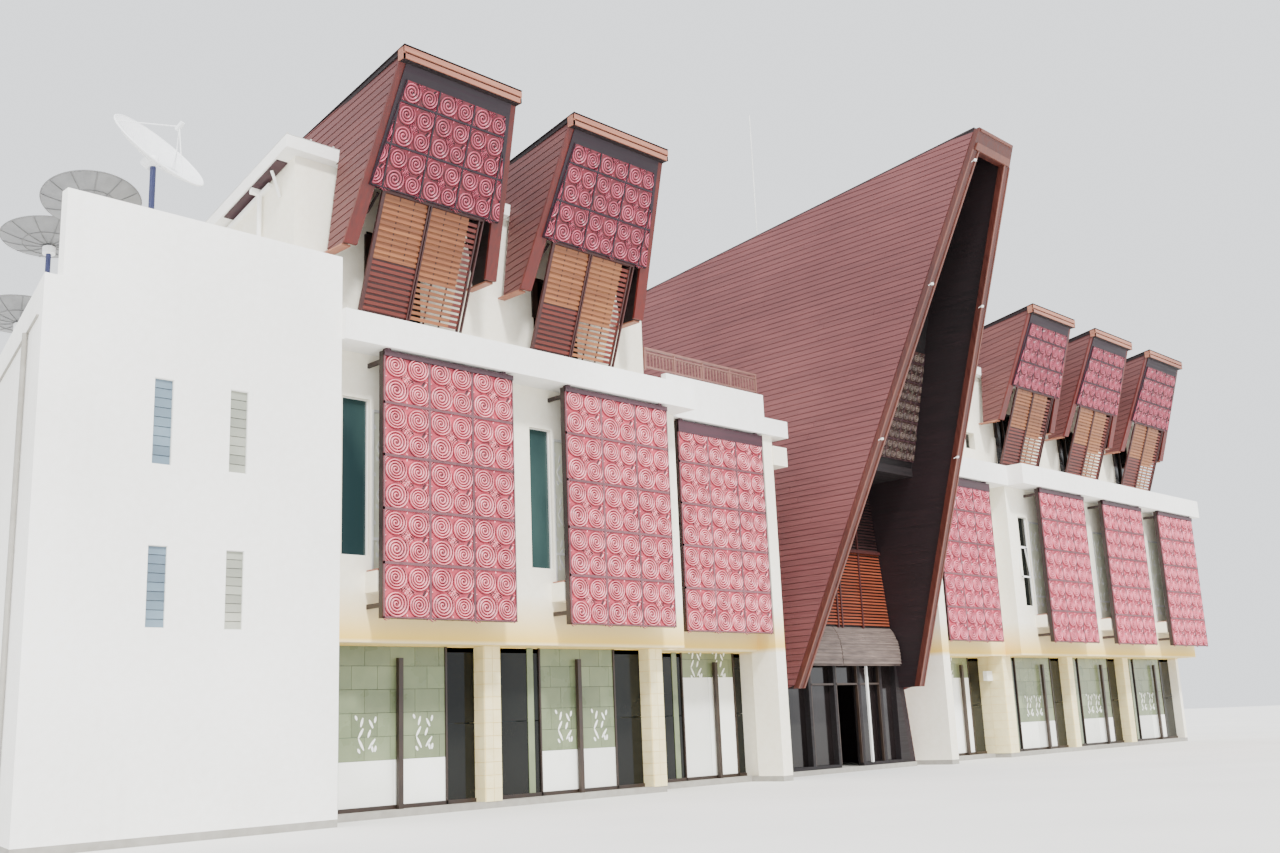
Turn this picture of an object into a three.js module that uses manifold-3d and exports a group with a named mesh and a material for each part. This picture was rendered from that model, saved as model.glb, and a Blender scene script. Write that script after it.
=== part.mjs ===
// Tongkonan-style building: a tall boat-roofed hall between two flat-roofed wings.
// The source is written at real size in millimetres and the root group scales it to 1:2.
// +Z is up, the front faces -Y, and X = 0 is the centre line of the hall.
import * as THREE from 'three';
import { mergeVertices } from 'three/addons/utils/BufferGeometryUtils.js';
import Module from 'manifold-3d';

const wasm = await Module();
wasm.setup();
const { Manifold, Mesh } = wasm;

// Driving dimensions, real size. Depths are measured from the plane of the main panels.
const MODEL_SCALE = 0.5;
const CLEARANCE = 1;
const REACH = 50;
const DEPTH_ORIGIN = 9300;
const HALF_LENGTH = 26000;
const SLAB_TOP = 150;
const FIRST_SOFFIT = 3620;
const SECOND_SOFFIT = 6800;
const SLAB_THICKNESS = 230;
const BAND_BOTTOM = 9870;
const ROOF_SLAB_TOP = 10150;
const WALL = 250;
const REAR = 17950;
const GLASS = 24;
const REAR_ROWS = [[1200, 2900], [4750, 6300], [7950, 9400]];
const SIDE_ROWS = [[3750, 5250], [6750, 8400]];

// Carved panels hang in front of the wall of each bay, over a glazed opening with a ledge.
const PANEL = { width: 3600, bottom: 4070, top: 9820, depth: 150, toWall: 650 };
const GLAZING = { inset: 180, bottom: 5080, top: 8650 };
const LEDGE = { bottom: 4640, reach: 450 };
const TALL_WINDOW = { left: -590, right: 100, bottom: 5430, topLeft: 8860, topRight: 8780 };

// A section of a wing is a stretch of front wall on one plane.
const BLOCK = {
  x0: -HALF_LENGTH,
  x1: -19850,
  front: 0,
  top: 11700,
  sideTop: 10000,
  roof: [9500, 9780],
  inset: 320,
  splay: 0.231,
};
const SECTIONS = {
  leftOuter: { x0: BLOCK.x1, x1: -8950, panelY: 0 },
  leftInner: { x0: -8950, x1: -4500, panelY: 840 },
  rightInner: { x0: 4500, x1: 9850, panelY: 1250 },
  rightOuter: { x0: 9850, x1: 25500, panelY: 615 },
};
const BAYS = [
  { name: 'left_bay_1', x: -17010, section: 'leftOuter', dormerX: -16940, tallWindow: true },
  { name: 'left_bay_2', x: -11750, section: 'leftOuter', dormerX: -11750, tallWindow: true },
  { name: 'left_bay_3', x: -6820, section: 'leftInner' },
  { name: 'right_bay_1', x: 6810, section: 'rightInner' },
  { name: 'right_bay_2', x: 13000, section: 'rightOuter', dormerX: 13000, tallWindow: true },
  { name: 'right_bay_3', x: 18270, section: 'rightOuter', dormerX: 18270 },
  { name: 'right_bay_4', x: 23530, section: 'rightOuter', dormerX: 23530 },
];

// The ground floor is set back: stretches of glazing between piers.
const PIER_DEPTH = 560;
const GROUND_FLOORS = {
  left: {
    runs: [
      { x0: -19850, x1: -9780, glassY: 1710 },
      { x0: -9310, x1: -4750, glassY: 2550 },
    ],
    piers: [
      { x0: -15240, x1: -14770, front: 1150, back: 1710 },
      { x0: -9780, x1: -9310, front: 1150, back: 2574 },
    ],
  },
  right: {
    runs: [
      { x0: 4750, x1: 9700, glassY: 3200 },
      { x0: 10300, x1: 25250, glassY: 2660 },
    ],
    piers: [
      { x0: 9700, x1: 10300, front: 2000, back: 3224 },
      { x0: 14950, x1: 15370, front: 2100, back: 2660 },
      { x0: 19870, x1: 20350, front: 2100, back: 2660 },
    ],
  },
};

// The hall is two leaning side planes under a ridge that dips in the middle.
const HALL = {
  tipZ: 18750,
  tipHalfWidth: 1000,
  footZ: 2550,
  footHalfWidth: 3350,
  footY: 1530,
  tipY: -4880,
  ridgeFall: 0.113,
  ridgeCap: 60,
  sideThickness: 250,
  wallY: 2150,
  wallThickness: 200,
  wallTop: 9250,
  atticThickness: 300,
};
const HALL_SPREAD = (HALL.footHalfWidth - HALL.tipHalfWidth) / (HALL.tipZ - HALL.footZ);
const HALL_LEAN = (HALL.tipY - HALL.footY) / (HALL.tipZ - HALL.footZ);
const HALL_BACK = 2 * DEPTH_ORIGIN;
const RIDGE_LOW = HALL.tipZ - HALL.ridgeFall * (DEPTH_ORIGIN - HALL.tipY);
const VERGE = { board: 300, foldBoard: 360, depth: 180, underRidge: 640 };
const ATTIC_TOP = HALL.wallTop + HALL.atticThickness;
const GABLE = { bottom: ATTIC_TOP, top: 18150, footY: 280, lean: -0.33, thickness: 120 };
const CARVING = { bottom: GABLE.bottom + 150, top: 13050, thickness: 60 };
const ENTRANCE = {
  half: 2950,
  sill: 250,
  lintel: 3350,
  doorHead: 2700,
  post: 120,
  posts: [-1750, -450, 850, 2050],
};
const AWNING = { top: 4450, bottom: 3300, reach: 300, thickness: 60, steps: 8 };
const ROD = { y: 4450, top: 23000, radius: 26, saddle: 110 };
const LINK = { front: 3500, windowLeft: 900, windowRight: 300 };

// A dormer is a small boat roof that leans out over the front.
const DORMER = {
  topZ: 16800,
  bottomZ: 12550,
  topHalfWidth: 1640,
  spread: 0.12,
  lean: -0.36,
  topOut: 400,
  backY: 6000,
  roofFall: 0.18,
  board: 120,
  capHalfWidth: 1710,
  capOut: 160,
  capUp: 90,
  fascia: 330,
};
const DORMER_FRONT = { foot: ROOF_SLAB_TOP + 1, split: 13850, splitY: 560, lean: -0.36, gap: 3 };
const SCREEN = { half: 1475, stile: 70, mullion: 30, rail: 120, frame: [40, 90], sheet: [70, 82] };
const TOP_ROOF = { frontY: 1800, frontZ: 14800, fall: 0.27, thickness: 300, backY: 10700 };
const TOP_FLOORS = {
  left: { x0: BLOCK.x1, x1: -8650, wallY: 2000, shift: 0, overhang: [350, 175], rise: 0 },
  right: { x0: 4700, x1: 25200, wallY: 2620, shift: 620, overhang: [0, 175], rise: 130 },
};
const TOP_FLOOR_BACK = 10300;
const DORMER_WINDOW = { left: 980, right: 590, bottom: 10400, top: 13380 };
const SMALL_WINDOW = { x: [9720, 10410], z: [11570, 12220] };
const BACK_WINDOW = { half: 600, first: 1600, pitch: 2800, z: [11000, 12100] };

// Plain windows of the hidden sides: centres along a wall and half widths.
const REAR_WINDOWS = {
  left: [-18300, -15600, -12900, -10200, -7500],
  right: [7500, 10300, 13100, 15900, 18700, 21500, 24300],
  half: 600,
};
const END_WINDOWS = { centres: [5200, 9300, 13400], half: 300 };
const STAIR_WINDOWS = {
  front: [-23700, -22160],
  side: [5200, 9800, 14400],
  rear: [-20900],
  half: 195,
  rearHalf: 500,
};

// Fins are the ends of the inner walls next to the hall; the nib ties the left one to the cornice.
const FIN = 420;
const NIB = { reach: 640, depth: [-40, 560], z: [9020, 9590] };

// Cornices: bands with an upstand along the edge of each roof slab.
const CORNICE = {
  board: 180,
  out: 150,
  leftTop: 10540,
  terraceTop: 11040,
  rightTop: 10620,
  terraceEnd: 470,
  terraceBack: 6000,
  ledgeReach: 610,
  ledgeDepth: 1200,
  ledgeTop: 10370,
};
const RAILING = {
  x: [-9890, -5160],
  y: [740, 790],
  top: 11660,
  post: 50,
  posts: 5,
  bottomRail: [60, 100],
  middleRail: [150, 120],
  handrail: 50,
};
const PANEL_BRACKET = { width: 50, inset: 30, heights: [[9560, 9660], [4300, 4400]] };

const DISH = { depthRatio: 0.2, skin: 30, steps: 6, mast: 60, hub: 120, foot: 160 };
const DISHES = [
  { x: -22730, y: 3000, z: 14190, radius: 1120, azimuth: -67, elevation: 41 },
  { x: -22550, y: 6600, z: 14230, radius: 1110, azimuth: 73, elevation: 75 },
  { x: -22110, y: 10200, z: 14440, radius: 1160, azimuth: 80, elevation: 83 },
  { x: -21630, y: 13200, z: 13190, radius: 1160, azimuth: 72, elevation: 80 },
];

const COLOURS = {
  white: 0xf4f0e6,
  cream: 0xe9dcb8,
  siding: 0x8a4c46,
  verge: 0x96402e,
  carving: 0xb84a66,
  darkWood: 0x4a2420,
  louvre: 0xa8643a,
  glass: 0x4c6358,
  metal: 0x8b8a86,
  railing: 0xa06a5c,
  concrete: 0xb8b2a4,
};

const wallPlane = (section) => section.panelY + PANEL.toWall;
const atDepth = (y) => y - DEPTH_ORIGIN;
const hallHalfWidth = (z) => HALL.tipHalfWidth + (HALL.tipZ - z) * HALL_SPREAD;
const hallInnerHalf = (z) => hallHalfWidth(z) - HALL.sideThickness - CLEARANCE;
const hallFrontY = (z) => HALL.footY + (z - HALL.footZ) * HALL_LEAN;
const gableY = (z) => GABLE.footY + (z - GABLE.bottom) * GABLE.lean;
const topRoofZ = (y) => TOP_ROOF.frontZ + TOP_ROOF.thickness - (y - TOP_ROOF.frontY) * TOP_ROOF.fall;
const dormerHalf = (z) => DORMER.topHalfWidth + (DORMER.topZ - z) * DORMER.spread;
const topFloorOf = (bay) => TOP_FLOORS[bay.x < 0 ? 'left' : 'right'];

// Geometry helpers. Each takes depths from the plane of the main panels.
function box(x, y, z) {
  const geometry = new THREE.BoxGeometry(x[1] - x[0], y[1] - y[0], z[1] - z[0]);
  return geometry.translate((x[0] + x[1]) / 2, atDepth((y[0] + y[1]) / 2), (z[0] + z[1]) / 2);
}

function outline(points) {
  return new THREE.Shape(points.map(([u, v]) => new THREE.Vector2(u, v)));
}

function extrude(points, depth) {
  return new THREE.ExtrudeGeometry(outline(points), { depth, bevelEnabled: false });
}

function rectangle(u0, u1, v0, v1) {
  return [[u0, v0], [u1, v0], [u1, v1], [u0, v1]];
}

// A shape that is symmetric about x = 0, from its half widths at two heights.
function taper(half, bottom, top) {
  return [[-half(bottom), bottom], [half(bottom), bottom], [half(top), top], [-half(top), top]];
}

// Extrudes an x-z outline along y and cuts the given outlines through it.
function slabAlongY(points, y, holes = []) {
  const geometry = extrude(points, y[1] - y[0]);
  geometry.rotateX(Math.PI / 2).translate(0, atDepth(y[1]), 0);
  const cutters = holes.map((hole) => slabAlongY(hole, [y[0] - REACH, y[1] + REACH]));
  return cutters.length > 0 ? cut(geometry, ...cutters) : geometry;
}

// Extrudes a y-z outline along x.
function slabAlongX(points, x) {
  const turn = new THREE.Matrix4().set(0, 0, 1, x[0], 1, 0, 0, atDepth(0), 0, 1, 0, 0, 0, 0, 0, 1);
  return extrude(points, x[1] - x[0]).applyMatrix4(turn);
}

// Extrudes an x-y outline upwards.
function slabAlongZ(points, z) {
  return extrude(points, z[1] - z[0]).translate(0, atDepth(0), z[0]);
}

// Moves every vertex with a function of its position.
function reshape(geometry, move) {
  const position = geometry.attributes.position;
  const point = new THREE.Vector3();
  for (let i = 0; i < position.count; i += 1) {
    point.fromBufferAttribute(position, i);
    move(point);
    position.setXYZ(i, point.x, point.y, point.z);
  }
  geometry.computeVertexNormals();
  return geometry;
}

function toManifold(geometry) {
  const plain = geometry.clone();
  plain.deleteAttribute('normal');
  plain.deleteAttribute('uv');
  const merged = mergeVertices(plain, 1e-3);
  const mesh = new Mesh({
    numProp: 3,
    vertProperties: new Float32Array(merged.attributes.position.array),
    triVerts: new Uint32Array(merged.index.array),
  });
  return new Manifold(mesh);
}

function fromManifold(solid) {
  const mesh = solid.getMesh();
  const geometry = new THREE.BufferGeometry();
  geometry.setAttribute('position', new THREE.BufferAttribute(new Float32Array(mesh.vertProperties), 3));
  geometry.setIndex(new THREE.BufferAttribute(new Uint32Array(mesh.triVerts), 1));
  geometry.computeVertexNormals();
  return geometry;
}

function join(...geometries) {
  return fromManifold(Manifold.union(geometries.map(toManifold)));
}

function cut(geometry, ...cutters) {
  return fromManifold(toManifold(geometry).subtract(Manifold.union(cutters.map(toManifold))));
}

// Cutters for windows in a wall: one for each centre and row.
function windowCutters(centres, y, halfWidth, rows) {
  return centres.flatMap((x) => rows.map((z) => box([x - halfWidth, x + halfWidth], y, z)));
}

// Materials: one plain finish per piece.
function finish(colour, roughness = 0.7, metalness = 0) {
  return new THREE.MeshStandardMaterial({ color: COLOURS[colour], roughness, metalness });
}

const group = new THREE.Group();
group.name = 'tongkonan_building';
group.scale.setScalar(MODEL_SCALE);

function add(name, geometry, colour, roughness, metalness) {
  const mesh = new THREE.Mesh(geometry, finish(colour, roughness, metalness));
  mesh.name = name;
  group.add(mesh);
}

// Turns a piece of the front half to the back, half a turn about the middle of the hall.
function toRear(geometry) {
  return geometry.clone().rotateZ(Math.PI);
}

// Stair block in plan: its outer side is splayed, so it is narrower at the back.
function blockPlan(inset) {
  const { x0, x1, front, splay } = BLOCK;
  const side = (y) => x0 + splay * (y - front) + inset * Math.hypot(1, splay);
  const [near, far] = [front + inset, REAR - inset];
  return [[side(near), near], [x1 - inset, near], [x1 - inset, far], [side(far), far]];
}

// Ground slab: it ends flush under the walls, piers and hall sides.
function groundSlab() {
  const z = [0, SLAB_TOP];
  const half = hallHalfWidth(SLAB_TOP) + 10;
  const { leftInner, rightInner, rightOuter } = SECTIONS;
  const fin = [leftInner.x1 - FIN, rightInner.x0 + FIN];
  const parts = [
    slabAlongZ(blockPlan(0), z),
    box([-half, half], [HALL.wallY - 50, HALL_BACK - HALL.wallY + 50], z),
    box([leftInner.x1, rightInner.x0], [LINK.front, HALL_BACK - LINK.front], z),
    box([fin[0], leftInner.x1], [leftInner.panelY, REAR], z),
    box([rightInner.x0, fin[1]], [rightInner.panelY, REAR], z),
    box([rightOuter.x1 - WALL, rightOuter.x1], [GROUND_FLOORS.right.piers[1].front, REAR], z),
  ];
  for (const { runs, piers } of Object.values(GROUND_FLOORS)) {
    for (const run of runs) {
      parts.push(box([run.x0, run.x1], [run.glassY - PIER_DEPTH, REAR], z));
    }
    for (const pier of piers) {
      parts.push(box([pier.x0, pier.x1], [pier.front, REAR], z));
    }
  }
  return join(...parts);
}

// Hall side: one leaning plane, cut level at the foot in front and standing on the slab behind.
function hallSide(sign) {
  const front = hallFrontY(HALL.footZ);
  const profile = [
    [HALL.tipY, HALL.tipZ],
    [front, HALL.footZ],
    [HALL.wallY, HALL.footZ],
    [HALL.wallY, SLAB_TOP],
    [HALL_BACK - HALL.wallY, SLAB_TOP],
    [HALL_BACK - HALL.wallY, HALL.footZ],
    [HALL_BACK - front, HALL.footZ],
    [HALL_BACK - HALL.tipY, HALL.tipZ],
    [DEPTH_ORIGIN, RIDGE_LOW],
  ];
  const side = reshape(slabAlongX(profile, [-HALL.sideThickness, 0]), (p) => {
    p.x += hallHalfWidth(p.z);
  });
  return sign < 0 ? side.rotateZ(Math.PI) : side;
}

// Ridge cap: a flat band along the dipping ridge, as wide as the hall is at that height.
function hallRidgeCap() {
  const lower = [[HALL.tipY, HALL.tipZ], [DEPTH_ORIGIN, RIDGE_LOW], [HALL_BACK - HALL.tipY, HALL.tipZ]];
  const profile = [
    ...lower.map(([y, z]) => [y, z + CLEARANCE]),
    ...[...lower].reverse().map(([y, z]) => [y, z + HALL.ridgeCap]),
  ];
  return reshape(slabAlongX(profile, [-1, 1]), (p) => {
    p.x *= hallHalfWidth(Math.min(p.z, HALL.tipZ)) + 10;
  });
}

// Verge frame: the broad board that edges the open prow on both sides and under the ridge.
function hallVerge() {
  const innerTop = HALL.tipZ - VERGE.underRidge;
  const foot = hallHalfWidth(HALL.footZ);
  const tip = hallHalfWidth(HALL.tipZ);
  const fold = hallHalfWidth(innerTop) - VERGE.foldBoard;
  const frame = [
    [-foot, HALL.footZ],
    [-tip, HALL.tipZ],
    [tip, HALL.tipZ],
    [foot, HALL.footZ],
    [foot - VERGE.board, HALL.footZ],
    [fold, innerTop],
    [-fold, innerTop],
    [-foot + VERGE.board, HALL.footZ],
  ];
  return reshape(slabAlongY(frame, [-VERGE.depth - CLEARANCE, -CLEARANCE]), (p) => {
    p.y += hallFrontY(p.z);
  });
}

// Leaning gable wall behind the open prow, from the attic floor up to the ridge.
function hallGable() {
  const points = taper(hallInnerHalf, GABLE.bottom, GABLE.top);
  return reshape(slabAlongY(points, [0, GABLE.thickness]), (p) => {
    p.y += gableY(p.z);
  });
}

// Carved field on the lower part of the gable, in front of its boards.
function hallCarving() {
  const points = taper((z) => hallInnerHalf(z) - 60, CARVING.bottom, CARVING.top);
  return reshape(slabAlongY(points, [-CARVING.thickness, 0]), (p) => {
    p.y += gableY(p.z);
  });
}

// Attic floor: it ties the two sides and carries both gables.
function hallAtticFloor() {
  const half = hallInnerHalf(GABLE.bottom);
  return box([-half, half], [GABLE.footY, HALL_BACK - GABLE.footY], [HALL.wallTop, GABLE.bottom]);
}

// Front wall of the hall: a louvre wall above a wide entrance with posts.
function hallWall() {
  const y = [HALL.wallY, HALL.wallY + HALL.wallThickness];
  const edges = [-ENTRANCE.half, ...ENTRANCE.posts, ENTRANCE.half];
  const bays = edges.slice(1).map((edge, i) => [edges[i] + ENTRANCE.post / 2, edge - ENTRANCE.post / 2]);
  const holes = bays.map(([left, right]) => rectangle(left, right, ENTRANCE.sill, ENTRANCE.lintel));
  const wall = slabAlongY(taper(hallInnerHalf, SLAB_TOP, HALL.wallTop), y, holes);
  const doorway = box(bays[2], [y[0] - REACH, y[1] + REACH], [SLAB_TOP - REACH, ENTRANCE.sill + REACH]);
  return cut(wall, doorway);
}

// Glass behind the entrance posts, with the doorway left open.
function hallGlass() {
  const y = HALL.wallY + HALL.wallThickness;
  const half = ENTRANCE.half - 10;
  const door = [ENTRANCE.posts[1] + ENTRANCE.post / 2, ENTRANCE.posts[2] - ENTRANCE.post / 2];
  const points = [
    [-half, SLAB_TOP],
    [door[0], SLAB_TOP],
    [door[0], ENTRANCE.doorHead],
    [door[1], ENTRANCE.doorHead],
    [door[1], SLAB_TOP],
    [half, SLAB_TOP],
    [half, ENTRANCE.lintel + 40],
    [-half, ENTRANCE.lintel + 40],
  ];
  return slabAlongY(points, [y, y + GLASS]);
}

// Awning over the entrance: a curved sheet that drops forward from the louvre wall.
function hallAwning() {
  const half = hallHalfWidth(AWNING.top) - HALL.sideThickness - 5;
  const outer = [];
  for (let i = 0; i <= AWNING.steps; i += 1) {
    const t = i / AWNING.steps;
    const y = HALL.wallY - AWNING.reach * Math.sin((t * Math.PI) / 2);
    outer.push([y, AWNING.top - (AWNING.top - AWNING.bottom) * (0.25 * t + 0.75 * t * t)]);
  }
  const inner = outer.map(([y, z]) => [y, z - AWNING.thickness]).reverse();
  return slabAlongX([...outer, ...inner], [-half, half]);
}

// Lightning rod on the ridge, on a saddle plate.
function lightningRod() {
  const { y, top, radius, saddle } = ROD;
  const ridge = (at) => HALL.tipZ - HALL.ridgeFall * (at - HALL.tipY) + HALL.ridgeCap;
  const seat = ridge(y - saddle) + CLEARANCE;
  const rod = new THREE.CylinderGeometry(radius * 0.8, radius, top - seat, 12);
  rod.rotateX(Math.PI / 2).translate(0, atDepth(y), (top + seat) / 2);
  return join(rod, box([-saddle, saddle], [y - saddle, y + saddle], [seat, seat + 50]));
}

// Openings of a bay in the upper wall: the glazing behind the panel and a tall window beside it.
function bayOpenings(bay) {
  const left = bay.x - PANEL.width / 2;
  const right = bay.x + PANEL.width / 2;
  const openings = [rectangle(left + GLAZING.inset, right - GLAZING.inset, GLAZING.bottom, GLAZING.top)];
  if (bay.tallWindow) {
    const top = bay.x < 0 ? TALL_WINDOW.topLeft : TALL_WINDOW.topRight;
    openings.push(rectangle(left + TALL_WINDOW.left, left + TALL_WINDOW.right, TALL_WINDOW.bottom, top));
  }
  return openings;
}

// Front wall of a section, with its openings and the ledges under the glazing.
function sectionWall(name) {
  const section = SECTIONS[name];
  const y = wallPlane(section);
  const bays = BAYS.filter((bay) => bay.section === name);
  const points = rectangle(section.x0, section.x1, FIRST_SOFFIT, BAND_BOTTOM);
  const wall = slabAlongY(points, [y, y + WALL], bays.flatMap(bayOpenings));
  const ledges = bays.map((bay) => {
    const half = PANEL.width / 2;
    return box([bay.x - half, bay.x + half], [y - LEDGE.reach, y + 10], [LEDGE.bottom, GLAZING.bottom]);
  });
  return join(wall, ...ledges);
}

// Walls of the left wing: front wall on two planes, its return, the end fin and the rear wall.
function leftWingWalls() {
  const { leftOuter: outer, leftInner: inner } = SECTIONS;
  const full = [SLAB_TOP, BAND_BOTTOM];
  const parts = [
    sectionWall('leftOuter'),
    sectionWall('leftInner'),
    box(
      [outer.x1 - WALL, outer.x1],
      [wallPlane(outer), wallPlane(inner) + WALL],
      [FIRST_SOFFIT, BAND_BOTTOM],
    ),
    box([inner.x1 - WALL, inner.x1], [wallPlane(inner), REAR], full),
    box([inner.x1 - FIN, inner.x1], [inner.panelY, wallPlane(inner) + WALL], full),
    box([inner.x1 - 10, inner.x1 + NIB.reach], NIB.depth.map((y) => inner.panelY + y), NIB.z),
    box([outer.x0, inner.x1], [REAR - WALL, REAR], full),
  ];
  const rear = [REAR - WALL - REACH, REAR + REACH];
  return cut(join(...parts), ...windowCutters(REAR_WINDOWS.left, rear, REAR_WINDOWS.half, REAR_ROWS));
}

// Walls of the right wing: as the left one, with an end wall at the far right.
function rightWingWalls() {
  const { rightOuter: outer, rightInner: inner } = SECTIONS;
  const full = [SLAB_TOP, BAND_BOTTOM];
  const upper = [FIRST_SOFFIT, BAND_BOTTOM];
  const endPier = GROUND_FLOORS.right.piers[1].front;
  const parts = [
    sectionWall('rightInner'),
    sectionWall('rightOuter'),
    box([outer.x0, outer.x0 + WALL], [wallPlane(outer), wallPlane(inner) + WALL], upper),
    box([inner.x0, inner.x0 + WALL], [wallPlane(inner), REAR], full),
    box([inner.x0, inner.x0 + FIN], [inner.panelY, wallPlane(inner) + WALL], full),
    box([inner.x0, outer.x1], [REAR - WALL, REAR], full),
    box([outer.x1 - WALL, outer.x1], [endPier, REAR], full),
    box([outer.x1 - WALL, outer.x1], [wallPlane(outer), REAR], upper),
  ];
  const rear = [REAR - WALL - REACH, REAR + REACH];
  const cutters = windowCutters(REAR_WINDOWS.right, rear, REAR_WINDOWS.half, REAR_ROWS);
  const { centres, half } = END_WINDOWS;
  for (const y of centres) {
    for (const z of REAR_ROWS) {
      cutters.push(box([outer.x1 - WALL - REACH, outer.x1 + REACH], [y - half, y + half], z));
    }
  }
  return cut(join(...parts), ...cutters);
}

// Floor of a wing: it lies between the walls, behind the upper glass where inset says so.
function wingFloor(outer, inner, soffit, inset) {
  const z = [soffit, soffit + SLAB_THICKNESS];
  const isLeft = outer.x0 < 0;
  const behind = (section) => wallPlane(section) + WALL + inset;
  const step = isLeft ? outer.x1 - WALL - inset : outer.x0 + WALL + inset;
  const outerX = isLeft ? [outer.x0, step] : [step, outer.x1 - WALL];
  const innerX = isLeft ? [step, inner.x1 - WALL] : [inner.x0 + WALL, step];
  return join(
    box(outerX, [behind(outer), REAR - WALL], z),
    box(innerX, [behind(inner), REAR - WALL], z),
  );
}

// Ground-floor front: piers tied by a head beam and a sill that carry the glazing.
function groundFront({ runs: [first, second], piers }) {
  const spans = [
    { x: [first.x0, first.x1 + 20], back: first.glassY },
    { x: [second.x0 - 20, second.x1], back: second.glassY },
  ];
  const rails = spans.flatMap(({ x, back }) => [
    box(x, [back - 200, back], [FIRST_SOFFIT - 130, FIRST_SOFFIT]),
    box(x, [back - 120, back], [SLAB_TOP, SLAB_TOP + 80]),
  ]);
  const posts = piers.map((pier) => {
    return box([pier.x0, pier.x1], [pier.front, pier.back], [SLAB_TOP, FIRST_SOFFIT]);
  });
  return join(...rails, ...posts);
}

// Ground-floor glass: one sheet, stepped behind the pier at the return.
function groundGlass({ runs: [first, second] }) {
  const far = Math.max(first.glassY, second.glassY) + GLASS;
  const plan = [
    [first.x0, first.glassY],
    [first.x1, first.glassY],
    [first.x1, far],
    [second.x0, far],
    [second.x0, second.glassY],
    [second.x1, second.glassY],
    [second.x1, second.glassY + GLASS],
    [second.x0 + GLASS, second.glassY + GLASS],
    [second.x0 + GLASS, far + GLASS],
    [first.x1 - GLASS, far + GLASS],
    [first.x1 - GLASS, first.glassY + GLASS],
    [first.x0, first.glassY + GLASS],
  ];
  return slabAlongZ(plan, [SLAB_TOP, FIRST_SOFFIT]);
}

// Upper glass: a sheet on the inner face of the front wall, stepped at the return.
function upperGlass(stretches, seam) {
  const z = [4950, 8900];
  const planes = stretches.map(({ section }) => wallPlane(section) + WALL);
  const sheets = stretches.map(({ x }, index) => box(x, [planes[index], planes[index] + GLASS], z));
  return join(...sheets, box(seam, [Math.min(...planes), Math.max(...planes) + GLASS], z));
}

function leftUpperGlass() {
  const { leftOuter: outer, leftInner: inner } = SECTIONS;
  const seam = [outer.x1 - WALL - GLASS, outer.x1 - WALL];
  const stretches = [
    { section: outer, x: [outer.x0, seam[1]] },
    { section: inner, x: [seam[0], inner.x1 - FIN] },
  ];
  return upperGlass(stretches, seam);
}

function rightUpperGlass() {
  const { rightOuter: outer, rightInner: inner } = SECTIONS;
  const seam = [outer.x0 + WALL, outer.x0 + WALL + GLASS];
  const stretches = [
    { section: inner, x: [inner.x0 + FIN, seam[1]] },
    { section: outer, x: [seam[0], outer.x1 - WALL] },
  ];
  return upperGlass(stretches, seam);
}

// Link between a wing and the hall: two walls that follow the lean of the hall, floors and a roof.
function hallLink(sign) {
  const wing = SECTIONS.rightInner.x0;
  const top = ROOF_SLAB_TOP;
  const depth = [LINK.front, HALL_BACK - LINK.front];
  const edge = (z) => hallHalfWidth(z) + CLEARANCE;
  const side = [[edge(SLAB_TOP), SLAB_TOP], [wing, SLAB_TOP], [wing, top], [edge(top), top]];
  const floors = [FIRST_SOFFIT, SECOND_SOFFIT, BAND_BOTTOM].map((z) => {
    const thickness = z === BAND_BOTTOM ? top - BAND_BOTTOM : SLAB_THICKNESS;
    return box([edge(z), wing], depth, [z, z + thickness]);
  });
  const walls = [
    slabAlongY(side, [depth[0], depth[0] + WALL]),
    slabAlongY(side, [depth[1] - WALL, depth[1]]),
  ];
  const windows = REAR_ROWS.slice(1).map((z) => {
    return box([wing - LINK.windowLeft, wing - LINK.windowRight], [depth[0] - REACH, depth[1] + REACH], z);
  });
  const link = cut(join(...walls, ...floors), ...windows);
  return sign < 0 ? link.rotateZ(Math.PI) : link;
}

// Cornice and roof slab of the left wing, with a parapet behind the front bands.
function leftRoofSlab() {
  const { leftOuter: outer, leftInner: inner } = SECTIONS;
  const { board, out, ledgeReach, ledgeDepth, ledgeTop, terraceBack } = CORNICE;
  const slab = [BAND_BOTTOM, ROOF_SLAB_TOP];
  const band = [BAND_BOTTOM, CORNICE.leftTop];
  const upperBand = [BAND_BOTTOM, CORNICE.terraceTop];
  const outerFront = outer.panelY - out;
  const innerFront = inner.panelY - out;
  const bandEnd = inner.x1 - CORNICE.terraceEnd;
  return join(
    box([outer.x0, outer.x1], [outerFront, REAR], slab),
    box([outer.x1, inner.x1], [innerFront, REAR], slab),
    box([outer.x0, outer.x1], [outerFront, outerFront + board], band),
    box([outer.x1 - board, outer.x1], [outerFront, innerFront + board], band),
    box([outer.x1 - board, bandEnd], [innerFront, innerFront + board], upperBand),
    box([bandEnd - board, bandEnd], [innerFront, terraceBack], upperBand),
    box([outer.x1, inner.x1 + ledgeReach], [innerFront, innerFront + ledgeDepth], [BAND_BOTTOM, ledgeTop]),
    box([outer.x0, inner.x1], [REAR - board, REAR], band),
    box([inner.x1 - board, inner.x1], [terraceBack, REAR], band),
  );
}

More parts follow.
